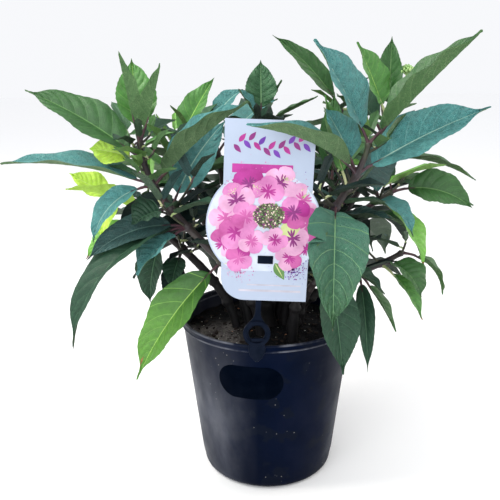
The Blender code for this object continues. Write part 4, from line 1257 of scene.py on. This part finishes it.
def seated(leaf, name, mass, crowd):
    # the leaf joins its mass where it finds room, turned a little if it must
    own = {owner for owner, *_ in crowd.things if owner.startswith(name + "/")}
    for angle, rise in turns:
        tried = dict(leaf, angle=leaf["angle"] + angle, rise=leaf["rise"] + rise)
        whole = loft(*leafRings(tried, growth["clearance"]))
        if min(point[2] for point in whole[0]) < growth["lowest"]:
            continue
        blade = loft(*leafRings(tried, growth["clearance"], 0.6))
        if crowd.clashes(whole, own) is None and crowd.clashes(blade) is None:
            mass["leaves"].append(tried)
            crowd.add(name + "/leaf", loft(*leafRings(tried)))
            return True
    return False


def skinOf(obj):
    points = [tuple(vertex.co) for vertex in obj.data.vertices]
    return points, [tuple(face.vertices) for face in obj.data.polygons]


def stalkOf(course):
    return Twig(course.point(1.0), growth["stalkAngle"], growth["stalkRise"], growth["stalkLength"])


def growShrub():
    crowd = Crowd()
    for name in ("pot", "potting_mix", "plant_label", "label_hook", "crown_stump"):
        crowd.add(name, skinOf(nodes[name]))
    plant = {}
    for name, shoot in shoots.items():
        course = Course(shoot)
        plant[name] = dict(course=course, leaves=[], twigs=[])
        shares = np.linspace(0.05, 1, 15)
        radii = [radiusAt(share) + growth["clearance"] for share in shares]
        crowd.add(name + "/stem", loft(tubeRings(course, shares, radii, 6), budTip(course, growth["bud"])))
        if shoot.get("blossom"):
            stalk = stalkOf(course)
            end = stalk.point(1.0) + stalk.direction(1.0) * blossom["clear"]
            rings = tubeRings(stalk, (0.0, 0.5, 0.9, 1.0), blossom["clearRadii"], 8)
            crowd.add(name + "/stem", loft(rings, end))
    # posed leaves first, then the rule's pairs, then twigs
    for name, shoot in shoots.items():
        for key, settings in shoot.get("leaves", {}).items():
            leaf = setLeaf(plant[name]["course"], shoot["joints"][key[0]], settings)
            leaf.update(marks.get((name, key), {}))
            seated(leaf, name, plant[name], crowd)
    for name, shoot in shoots.items():
        course, dice = plant[name]["course"], random.Random(name)
        for joint, share in enumerate(shoot["joints"]):
            rank = joint / (len(shoot["joints"]) - 1)
            for side in (0, 1):
                angle = course.angle + shoot["turn"] + 90 * joint + 180 * side
                leaf = ruleLeaf(course, share, rank, angle, dice)
                if (joint, side) not in shoot.get("leaves", {}):
                    leaf.update(marks.get((name, (joint, side)), {}))
                    seated(leaf, name, plant[name], crowd)
    for name, shoot in shoots.items():
        growTwigs(name, shoot["joints"][:-1], plant[name], crowd, random.Random(name + " twigs"), twigs)
    for name, shoot in shoots.items():
        dice = random.Random(name + " finer")
        growTwigs(name, shoot["joints"], plant[name], crowd, dice, finer)
        lower = [share - between["below"] for share in shoot["joints"]]
        growTwigs(name, lower, plant[name], crowd, dice, between)
    return plant


def growTwigs(name, joints, mass, crowd, dice, kind):
    course = mass["course"]
    for joint, share in enumerate(joints):
        angle = course.angle + shoots[name]["turn"] + 90 * joint + 180 * dice.randint(0, 1) + kind["turn"]
        twig = Twig(course.point(share), angle, dice.uniform(*kind["rise"]), dice.uniform(*kind["length"]))
        end = twig.point(1.0) + twig.direction(1.0) * (growth["twigBud"] + growth["clearance"])
        skin = loft(tubeRings(twig, (0.2, 0.6, 1.0), [growth["twig"] + growth["clearance"]] * 3, 3), end)
        if crowd.clashes(skin, {name + "/stem"}) is not None:
            continue
        leafy = False
        for place, size in kind["pairs"]:
            for side in (0, 1):
                length = size * dice.uniform(*smallLeaf["vary"])
                leaf = dict(
                    root=twig.point(place), angle=angle + 90 * (place < 1) + 180 * side,
                    rise=smallLeaf["rise"] + smallLeaf["tipRise"] * (place == 1.0),
                    bend=dice.uniform(*smallLeaf["bend"]), length=length,
                    width=length * growth["breadth"] * smallLeaf["broad"],
                    roll=dice.uniform(-smallLeaf["roll"], smallLeaf["roll"]),
                    petiole=kind["petiole"], thick=growth["thick"] * smallLeaf["thin"], kind="small",
                )
                leafy = seated(leaf, name, mass, crowd) or leafy
        if leafy:
            mass["twigs"].append(twig)
            crowd.add(name + "/twig", skin)


# Leaves: a blade whose rows follow its veins, drawn once for each kind and laid along each leaf's line

blades = {
    # veins: pairs of side veins. columns: shares of the half-width. quilt: how far it swells between veins
    "posed": dict(
        veins=8, between=3, columns=(0.0, 0.25, 0.5, 0.78, 1.0), quilt=0.0013, wave=0.0018, tooth=0.016,
    ),
    "rule": dict(veins=6, between=1, columns=(0.0, 0.4, 0.75, 1.0), quilt=0.0012, wave=0.0022, tooth=0.016),
    "small": dict(veins=3, between=0, columns=(0.0, 0.5, 1.0), quilt=0.0003, wave=0.0008, tooth=0.0),
}
bladeBuild = dict(
    # arch: how far the side veins run forward. veinHalf: half a vein's strip, as a share of the midrib
    arch=0.85, veinHalf=0.0026, veins=(0.06, 0.80), end=0.95, ribHalf=0.0008,
    ordinary=0.05, waves=(2.2, 3.6), veinSunk=0.0004, ribSunk=0.0003, footSunk=0.0004,
    skin=0.00055, ribThick=0.0010, veinThick=0.00018,
)
tear = dict(closing=0.75, reach=0.04, slit=0.009)


def bladeRows(kind):
    # rows of share along the midrib, swell between veins, whether the strip below is a vein, and tooth
    settings = blades[kind]
    count, half = settings["veins"], bladeBuild["veinHalf"]
    first, run = bladeBuild["veins"]
    rows = []
    edges = [0.0] + [first + run * (k / (count - 1)) ** 0.95 for k in range(count)] + [0.97]
    for k, (low, high) in enumerate(zip(edges, edges[1:])):
        if k > 0:
            if settings["between"]:
                rows += [(low - half, 0.0, False, -1), (low + half, 0.0, True, -1)]
            else:
                rows.append((low, 0.0, False, 0))
        for i in range(settings["between"]):
            t = (i + 1) / (settings["between"] + 1)
            rows.append((low + (high - low) * t, math.sin(math.pi * t), False, 1 - 2 * (i % 2)))
    return rows + [(bladeBuild["end"], 0.3, False, 0)]


def bladeTemplate(kind):
    # points as (row share, column, swell, tooth) and faces with their part of the blade
    columns = blades[kind]["columns"]
    across = [-c for c in reversed(columns[1:])] + list(columns)
    if kind != "small":
        middle = len(across) // 2
        across = across[:middle] + [-0.001, 0.001] + across[middle + 1:]
    rows = bladeRows(kind)
    wide = len(across)
    points = [(m, x, swell, tooth) for m, swell, _, tooth in rows for x in across]
    faces, parts = [], []
    for r in range(len(rows) - 1):
        vein = rows[r + 1][2]
        for c in range(wide - 1):
            a = r * wide + c
            rib = kind != "small" and c == wide // 2 - 1
            part = 1 if rib else 2 if vein else 0
            if c in (0, wide - 2):
                # at the margin both skins are split along the same line
                faces += [(a, a + 1, a + wide + 1), (a, a + wide + 1, a + wide)]
                parts += [part, part]
            else:
                faces.append((a, a + 1, a + wide + 1, a + wide))
                parts.append(part)
    return np.array(points), faces, parts, wide, len(rows)


templates = {kind: bladeTemplate(kind) for kind in blades}


def fineOutline(share):
    # half the blade's width, drawn in to a point before its tip
    share = np.clip(share, 0.0, 1.0)
    body = np.sin(np.pi * share**0.8).clip(0) ** 0.85 * (1 - 0.35 * share**2) / 0.95
    return body * (1 - 0.6 * np.exp(-(((share - 0.95) / 0.09) ** 2)))


def near(values, place, reach):
    return np.exp(-(((values - place) / reach) ** 2))


def layLeaf(leaf, dice):
    # one closed blade: its upper skin, and its under skin a little below, sharing the margin
    grid, faces, parts, wide, tall = templates[leaf["kind"]]
    settings = blades[leaf["kind"]]
    width, base = leaf["width"], leaf["petiole"] / (leaf["petiole"] + leaf["length"])
    m, x, swell, toothed = grid.T
    reach = np.abs(x)
    share = m + bladeBuild["arch"] * m * (1 - m) * reach**1.3
    if "cut" in leaf:
        side, place, depth = leaf["cut"]
        torn = np.sign(x) == side
        # the rows beside the tear close on it, and its own row ends inside the blade
        share = share - tear["closing"] * (m - place) * near(m, place, tear["reach"]) * reach**2 * torn
        limit = 1 - depth * near(m, place, tear["slit"]) * torn
        x = np.where(reach > limit, np.sign(x) * (limit + 0.02 * (reach - limit)), x)
    half = width / 2 * fineOutline(share)
    tooth = 1 + settings["tooth"] * toothed * (reach > 0.99)
    fold = math.radians(leaf.get("fold", growth["fold"]))
    narrow = reach < 0.01
    ribWide = bladeBuild["ribHalf"] * (1 - 0.75 * m) * (1.0 if width > 0.03 else 0.7)
    lateral = np.where(narrow, np.sign(x) * np.minimum(ribWide, 0.4 * half), half * x * tooth)
    # the blade bows up from its rib, waves at its margin and swells between its sunk veins
    lift = half * math.sin(fold) * np.where(narrow, 0.0, 1.25 * reach - 0.25 * reach**2)
    size = width / bladeBuild["ordinary"]
    phase, waves = dice.uniform(0, 2 * math.pi), dice.uniform(*bladeBuild["waves"])
    wave = np.sin(2 * np.pi * waves * share + phase + 1.3 * np.sign(x))
    lift = lift + settings["wave"] * size * reach**2 * wave
    lift = lift + settings["quilt"] * size * swell * np.sin(np.pi * reach**0.8) ** 0.8
    lift = lift - bladeBuild["veinSunk"] * size * (swell < 0.01) * (reach < 0.9) * np.sin(np.pi * reach).clip(0)
    lift = np.where(narrow, lift - bladeBuild["ribSunk"], lift)
    centre, over, normal, _ = leafLine(leaf, base + (1 - base) * share)
    top = centre + (lateral * math.cos(fold))[:, None] * over + lift[:, None] * normal
    thick = bladeBuild["skin"] + bladeBuild["ribThick"] * np.where(narrow, (1 - 0.8 * m), 0)
    thick = thick + bladeBuild["veinThick"] * (swell < 0.05) * (reach < 0.9)
    # under points only where the skins part
    inner = reach < 0.999
    under = top - (np.where(inner, thick, 0))[:, None] * normal
    ends, _, endNormals, _ = leafLine(leaf, [base, 1.0])
    count = len(top)
    lower = np.where(inner, count + np.cumsum(inner) - 1, np.arange(count))
    points = np.vstack([top, under[inner], ends])
    root, tip = len(points) - 2, len(points) - 1
    points[root] -= bladeBuild["footSunk"] * endNormals[0]
    # slots: upper side, rib, side vein, then the same three beneath, then scorch
    made, slots = [], []
    for face, part in zip(faces, parts):
        if "spot" in leaf:
            place, aside = leaf["spot"]
            if math.hypot((m[face[0]] - place) / 0.035, (x[face[0]] - aside) / 0.2) < 1:
                part = 6
        made += [face, tuple(int(lower[i]) for i in reversed(face))]
        slots += [part, min(6, 3 + part)]
    last = (tall - 1) * wide
    for c in range(wide - 1):
        made += [(root, c + 1, c), (root, int(lower[c]), int(lower[c + 1]))]
        made += [(last + c, last + c + 1, tip), (int(lower[last + c + 1]), int(lower[last + c]), tip)]
        slots += [0, 3, 0, 3]
    if "scorch" in leaf:
        along = np.concatenate([share, share[inner], [0.0, 1.0]])
        browned = [min(along[i] for i in face) > leaf["scorch"] for face in made]
        slots = [6 if brown else slot for brown, slot in zip(browned, slots)]
    return points, made, slots


leafTones = {
    # upper side, its rib, under side, rib beneath
    # painted light in the tones: teal is a painted sky reflection; bright, sunny and lime are painted sunlight
    # on and through the leaf; slate, dark and deep are painted shade
    "teal": ((76, 140, 138), (154, 190, 174), (74, 102, 68), (112, 130, 98)),
    "jade": ((52, 98, 62), (122, 166, 112), (70, 102, 66), (110, 132, 94)),
    "sea": ((48, 90, 54), (116, 158, 112), (70, 102, 66), (110, 132, 94)),
    "green": ((48, 92, 44), (100, 142, 82), (64, 98, 56), (102, 128, 84)),
    "bright": ((74, 130, 58), (156, 202, 98), (80, 114, 60), (122, 142, 92)),
    "sunny": ((84, 138, 46), (164, 206, 100), (80, 114, 60), (122, 142, 92)),
    "fresh": ((112, 172, 72), (178, 216, 126), (106, 146, 76), (142, 170, 104)),
    "lime": ((188, 226, 82), (212, 242, 136), (168, 208, 80), (188, 220, 118)),
    "slate": ((42, 74, 72), (82, 114, 106), (52, 72, 56), (80, 98, 76)),
    "dark": ((34, 66, 48), (80, 118, 88), (42, 64, 46), (68, 86, 64)),
    "deep": ((14, 34, 34), (40, 66, 58), (24, 40, 34), (44, 60, 46)),
}
# vein: how pale the side veins are. relief: of the net of veins. gloss: roughness and specular level.
# lightByHeight: a painted sheen or painted shade, as the colour higher up and the heights between which it
# comes in
commonTone = dict(vein=0.42, relief=0.0006, gloss=(0.44, 0.45), lightByHeight=None)
ownTone = dict(
    teal=dict(vein=0.16, relief=0.0050, gloss=(0.42, 0.5)), jade=dict(relief=0.0020),
    # sea has a painted teal sheen higher up; sunny has painted shade, a darker green, higher up
    sea=dict(vein=0.65, relief=0.0024, lightByHeight=((62, 120, 112), 0.245, 0.400)),
    sunny=dict(lightByHeight=((46, 96, 44), 0.200, 0.260)), slate=dict(relief=0.0030, gloss=(0.48, 0.35)),
    dark=dict(gloss=(0.50, 0.28)), deep=dict(gloss=(0.55, 0.2)),
)
dull = (0.62, 0.25)  # gloss of the under side
leafGrain = dict(
    net=560, netWidth=0.10, mottle=230, thread=95, pale=(255, 255, 200), swell=150, height=0.0007,
)


def mixed(first, second, share):
    return [a + (b - a) * share for a, b in zip(first, second)]


def leafFinish(name, colour, gloss, spread=0.07, netShare=0.10, relief=0.0006, lightByHeight=None):
    # the blade's own mottling, its fine net of veins, and a waxy sheen
    made = Finish(name, colour, *gloss)
    low = [c * (1 - spread) for c in colour]
    high = [min(255, c * (1 + spread)) for c in colour]
    pale = leafGrain["pale"]
    threads = [(0.3, mixed(low, pale, 0.4 * netShare)), (0.7, mixed(high, pale, netShare))]
    net = made.cells(leafGrain["net"], "DISTANCE_TO_EDGE")
    mottle = made.ramp(made.noise(leafGrain["mottle"], 5, 0.6), [(0.34, low), (0.66, high)])
    thread = made.ramp(made.noise(leafGrain["thread"], 2), threads)
    ground = made.blend(made.levels(net, 0.0, leafGrain["netWidth"], 1, 0), mottle, thread)
    # painted light: the colour changes higher up the leaf, for a painted sheen or painted shade
    if lightByHeight:
        colour, start, end = lightByHeight
        stops = [(0.34, mixed(colour, (0, 0, 0), spread)), (0.66, colour)]
        other = made.ramp(made.noise(leafGrain["mottle"], 5, 0.6), stops)
        ground = made.blend(made.levels(made.across("Z"), start, end, 0, 1), ground, other)
    made.colour(ground)
    made.bump(net, relief, 0.6)
    made.bump(made.noise(leafGrain["swell"], 3), leafGrain["height"], 0.4)
    return made.material


# how far out and up a leaf stands: below the two marks it takes the darker tones, as painted shade
crownDepth = dict(reach=0.24, height=(0.20, 0.24), deep=0.95, dark=1.2)


def toneFor(leaf, dice):
    # inner and lower leaves get the darker tones, as painted shade
    low, span = crownDepth["height"]
    reach = 0.5 * leaf["length"] + math.hypot(*leaf["root"][:2])
    outer = reach / crownDepth["reach"] + (leaf["root"][2] - low) / span
    if outer < crownDepth["deep"]:
        return "deep"
    if outer < crownDepth["dark"]:
        return dice.choice(("deep", "dark", "slate", "dark"))
    if leaf["kind"] == "small":
        return dice.choice(("green", "jade", "dark", "bright", "fresh"))
    return dice.choice(("green", "teal", "jade", "dark", "slate", "green"))


def makeLeaves(plant):
    dice = random.Random("leaf tones")
    groups = {}
    for name, mass in plant.items():
        for leaf in mass["leaves"]:
            groups.setdefault(leaf.get("tone") or toneFor(leaf, dice), []).append((name, leaf))
    scorched = leafFinish("leaf_scorch", (128, 92, 60), (0.7, 0.2), 0.25)
    for tone, members in groups.items():
        upper, rib, under, underRib = leafTones[tone]
        own = {**commonTone, **ownTone.get(tone, {})}
        gloss = own["gloss"]
        materials = [
            leafFinish("leaf_" + tone, upper, gloss, 0.10, 0.10, own["relief"], own["lightByHeight"]),
            leafFinish("rib_" + tone, rib, gloss, 0.06),
            leafFinish("vein_" + tone, mixed(upper, rib, own["vein"]), gloss, 0.06),
            leafFinish("under_" + tone, under, dull, 0.07, 0.22),
            leafFinish("under_rib_" + tone, underRib, dull, 0.06),
            leafFinish("under_vein_" + tone, mixed(under, underRib, 0.6), dull, 0.06), scorched,
        ]
        laid = [layLeaf(leaf, dice) for _, leaf in members]
        points, faces = merged(skin[:2] for skin in laid)
        slots = [slot for skin in laid for slot in skin[2]]
        piece = fromArrays("leaves_" + tone, points, faces, materials, slots)
        smooth(piece, 50)
        standsFor(piece, "foliage", *sorted({"foliage_" + name for name, _ in members}))
        print("leaves", tone, len(members), "leaves", len(faces), "faces")


# Canes, stems, petioles, twigs and buds

bark = dict(
    sides=16, step=0.0022, ridge=0.00022, scale=420, along=0.22, joint=0.42, jointWidth=0.0030,
    groove=0.0003, grooveAt=0.0036, grooveWidth=0.0007, wart=900.0, oldJoints=(0.16, 0.30),
    oldRidge=1.6, youngRidge=0.6, sunk=0.003, tip=0.004,
)


def barkTube(course, shares, joints, relief):
    # rings along a stem, swollen and scarred at its joints, with the bark's ridges
    rings = []
    level, scale = course.level(), bark["scale"]
    for share in shares:
        centre = course.point(share)
        upper = np.cross(level, course.direction(share))
        away = min(abs(share - joint) * course.length for joint in joints)
        radius = radiusAt(share) * (1 + bark["joint"] * math.exp(-((away / bark["jointWidth"]) ** 2)))
        radius -= bark["groove"] * math.exp(-(((away - bark["grooveAt"]) / bark["grooveWidth"]) ** 2))
        ring = []
        for i in range(bark["sides"]):
            a = 2 * math.pi * i / bark["sides"]
            way = math.cos(a) * level + math.sin(a) * upper
            spot = centre + way * radius
            rough = noise.noise(Vector((spot[0] * scale, spot[1] * scale, spot[2] * scale * bark["along"])))
            wart = max(0.0, noise.noise(Vector(spot * bark["wart"])) - 0.45)
            ring.append(centre + way * (radius + relief * rough + 0.9 * relief * wart))
        rings.append(ring)
    return rings


def caneTubes(name, plant, young):
    # the old lower part of every cane, or the young part that its leaves stand on
    skins = []
    relief = bark["ridge"] * bark["youngRidge" if young else "oldRidge"]
    for shootName, mass in plant.items():
        course, shoot = mass["course"], shoots[shootName]
        start, end = (shoot["enter"], 1.0) if young else (0.0, shoot["enter"])
        count = max(6, int((end - start) * course.length / bark["step"]))
        joints = shoot["joints"] + (() if young else bark["oldJoints"])
        rings = barkTube(course, np.linspace(start, end, count), joints, relief)
        if not young:
            for point in rings[0]:
                point[2] = course.points[0][2] - bark["sunk"]
        skins.append(loft(rings, budTip(course, bark["tip"]) if young else None))
    return fromArrays(name, *merged(skins))


def makeCanes(plant):
    woody = Finish("cane_bark", (78, 60, 54), 0.62, 0.35)
    patchy = woody.noise(70, 4, 0.6, (1, 1, 0.35))
    patches = woody.ramp(patchy, [(0.32, (24, 19, 22)), (0.5, (38, 31, 32)), (0.72, (62, 54, 46))])
    warts = woody.ramp(woody.cells(330), [(0.0, (92, 78, 64)), (0.14, (66, 56, 48)), (0.2, (36, 30, 31))])
    barked = woody.blend(woody.levels(woody.noise(60, 2), 0.55, 0.6, 0, 1), patches, warts)
    # painted shade: nearly black low inside the crown, the bark's own colours higher up where it comes out
    shadeColour = woody.ramp(woody.noise(70, 3), [(0.35, (10, 10, 14)), (0.7, (26, 23, 25))])
    woody.colour(woody.blend(woody.levels(woody.across("Z"), 0.20, 0.29, 0, 1), shadeColour, barked))
    woody.bump(woody.noise(520, 4, 0.6, (1, 1, 0.25)), 0.0005, 0.7)
    whole = joined("cane_bark", [caneTubes("cane_bark", plant, False), makeStump()])
    finished(whole, woody.material, 60, "bark", "crown_stump", *("cane_" + name for name in plant))
    young = grained(
        "young_stem", (74, 58, 62), (0.45, 0.45), (55, 3, 0.5, (1, 1, 0.4)),
        [(0.34, (42, 30, 40)), (0.55, (54, 46, 44)), (0.72, (62, 70, 48))],
        ((480, 3, 0.6, (1, 1, 0.3)), 0.0003, 0.5),
    )
    finished(caneTubes("young_stems", plant, True), young.material, 60, "bark", *massesOf(plant))
    print("canes done")


def massesOf(plant):
    return ["foliage_" + name for name in plant]


stump = dict(up=0.0300, rings=5, ringStep=0.0035, steps=28, rough=0.10)


def makeStump():
    foot = mix["top"] + mix["heap"] - 0.002
    top = mix["top"] + mix["heap"] + stump["up"]
    profile = [(0, top), (0.0060, top), (0.0080, top - 0.0012)]
    for i in range(stump["rings"]):
        profile.append((0.0095 - 0.0003 * (i % 2), top - 0.004 - stump["ringStep"] * i))
    profile += [(0.0112, foot + 0.006), (0.0135, foot), (0, foot)]
    wood = spun("stump_wood", profile, stump["steps"])
    for vertex in wood.data.vertices:
        x, y, z = vertex.co
        if math.hypot(x, y) > 0.001:
            rough = stump["rough"] * noise.noise(Vector((x * 300, y * 300, z * 90)))
            vertex.co.x *= 1 + rough
            vertex.co.y *= 1 + rough
    return wood


petioles = dict(
    radii=(0.0024, 0.0019, 0.0016, 0.0015, 0.0015, 0.0013, 0.0009, 0.0004), under=(0.0006, 0.0010, 0.0009),
    # piece names, each with its finish's name, colour, gloss and ramp
    finishes={
        "petioles_red": ("petiole_red", (84, 50, 60), (0.42, 0.45),
                         [(0.35, (54, 36, 46)), (0.55, (82, 50, 60)), (0.72, (92, 78, 62))]),
        "petioles_pale": ("petiole_pale", (176, 190, 130), (0.42, 0.5),
                          [(0.35, (150, 172, 110)), (0.7, (206, 204, 160))]),
        "petioles_dark": ("petiole_dark", (60, 58, 52), (0.5, 0.4),
                          [(0.35, (48, 44, 46)), (0.7, (78, 82, 60))]),
    },
    twigRadii=(0.0019, 0.0015, 0.0014, 0.0013, 0.0013, 0.0012, 0.0014), long=0.06,
)


def petioleSkin(leaf):
    # from its clasping foot to a little way under the blade
    base = leaf["petiole"] / (leaf["petiole"] + leaf["length"])
    small, long = leaf["kind"] == "small", petioles["long"]
    reach = 0.08 if small else 0.16
    shares = [*np.linspace(0.0, base, 6), base + reach * 0.5, base + reach]
    centre, _, normal, _ = leafLine(leaf, shares)
    for i, under in zip((5, 6, 7), petioles["under"]):
        centre[i] -= normal[i] * under
    size = 1.0 if leaf["length"] > long else 0.55 + 0.45 * leaf["length"] / long
    size = size * 0.75 if small else size
    radii = [r * size for r in petioles["radii"]]
    sides = 8 if leaf["kind"] == "posed" else 5
    end = centre[-1] + 0.0006 * (centre[-1] - centre[-2])
    return loft(tubeRings(Line(centre), np.linspace(0, 1, len(radii)), radii, sides), end)


def gathered(name, skins, material, plant):
    finished(fromArrays(name, *merged(skins)), material, 60, "foliage", *massesOf(plant))


def makeStalks(plant):
    kinds = {}
    for name, (finish, colour, gloss, stops) in petioles["finishes"].items():
        made = grained(finish, colour, gloss, (120, 3), stops, ((600, 2), 0.0002, 0.4))
        kinds[name] = (made.material, [])
    dice = random.Random("petioles")
    for mass in plant.values():
        for leaf in mass["leaves"]:
            if leaf["kind"] == "small":
                key = "petioles_pale" if dice.random() < 0.6 else "petioles_red"
            elif leaf.get("tone") in ("lime", "fresh", "bright"):
                key = "petioles_pale"
            else:
                key = "petioles_red" if dice.random() < 0.6 or leaf["kind"] == "posed" else "petioles_dark"
            kinds[key][1].append(petioleSkin(leaf))
    for name, (material, skins) in kinds.items():
        gathered(name, skins, material, plant)
    radii, skins = petioles["twigRadii"], []
    for mass in plant.values():
        for twig in mass["twigs"]:
            end = twig.point(1.0) + twig.direction(1.0) * growth["twigBud"]
            skins.append(loft(tubeRings(twig, np.linspace(0, 1, len(radii)), radii, 6), end))
    gathered("twigs", skins, kinds["petioles_dark"][0], plant)
    print("petioles and twigs done")


blossom = dict(
    clear=0.012, clearRadii=(0.0014, 0.0014, 0.003, 0.009),
    buds=34, spread=0.0090, bud=0.0017, low=0.004, dome=0.006, golden=2.39996, shape=(0.85, 0.85, 1.15),
    stalkRadii=(0.0016, 0.0014, 0.0013, 0.0012, 0.0012, 0.0014), rayRadii=(0.0006, 0.0005, 0.0006),
)


def makeBlossom(plant):
    # a domed head of green buds on short rays
    green = grained(
        "bud_green", (150, 190, 110), (0.5, 0.4), (260, 2),
        [(0.35, (120, 170, 90)), (0.7, (190, 214, 150))], ((900, 2), 0.0002, 0.4),
    )
    dice = random.Random("blossom")
    model = added(bpy.ops.mesh.primitive_ico_sphere_add, "bud", subdivisions=2, radius=1)
    editing(model)
    bpy.ops.transform.resize(value=blossom["shape"])
    objectMode()
    buds, rays = [], []
    radii = blossom["stalkRadii"]
    for name, mass in plant.items():
        if not shoots[name].get("blossom"):
            continue
        stalk = stalkOf(mass["course"])
        top = stalk.point(1.0)
        rays.append(loft(tubeRings(stalk, np.linspace(0, 1, len(radii)), radii, 7)))
        for i in range(blossom["buds"]):
            out = math.sqrt((i + 0.5) / blossom["buds"])
            a, spread = blossom["golden"] * i, blossom["spread"] * out
            up = blossom["low"] + blossom["dome"] * (1 - out**2)
            place = top + np.array([spread * math.cos(a), spread * math.sin(a), up])
            size = blossom["bud"] * dice.uniform(0.75, 1.15)
            ray = Line([top - [0, 0, 0.001], (top + place) / 2 + [0, 0, 0.0006], place])
            rays.append(loft(tubeRings(ray, (0, 0.5, 1), blossom["rayRadii"], 4)))
            turn = Matrix.Rotation(dice.uniform(0, 3), 4, "Z")
            buds.append(copied(model, "bud", Matrix.Translation(place) @ turn @ Matrix.Scale(size, 4)))
    bpy.data.objects.remove(model)
    finished(joined("bud_head", buds), green.material, 60, "foliage", *massesOf(plant))
    gathered("bud_rays", rays, green.material, plant)
    print("bud cluster done")


makeStudio()
makePot()
makeMix()
makeLabel()
plant = growShrub()
print("shrub grown", sum(len(mass["leaves"]) for mass in plant.values()), "leaves")
makeCanes(plant)
makeLeaves(plant)
makeStalks(plant)
makeBlossom(plant)
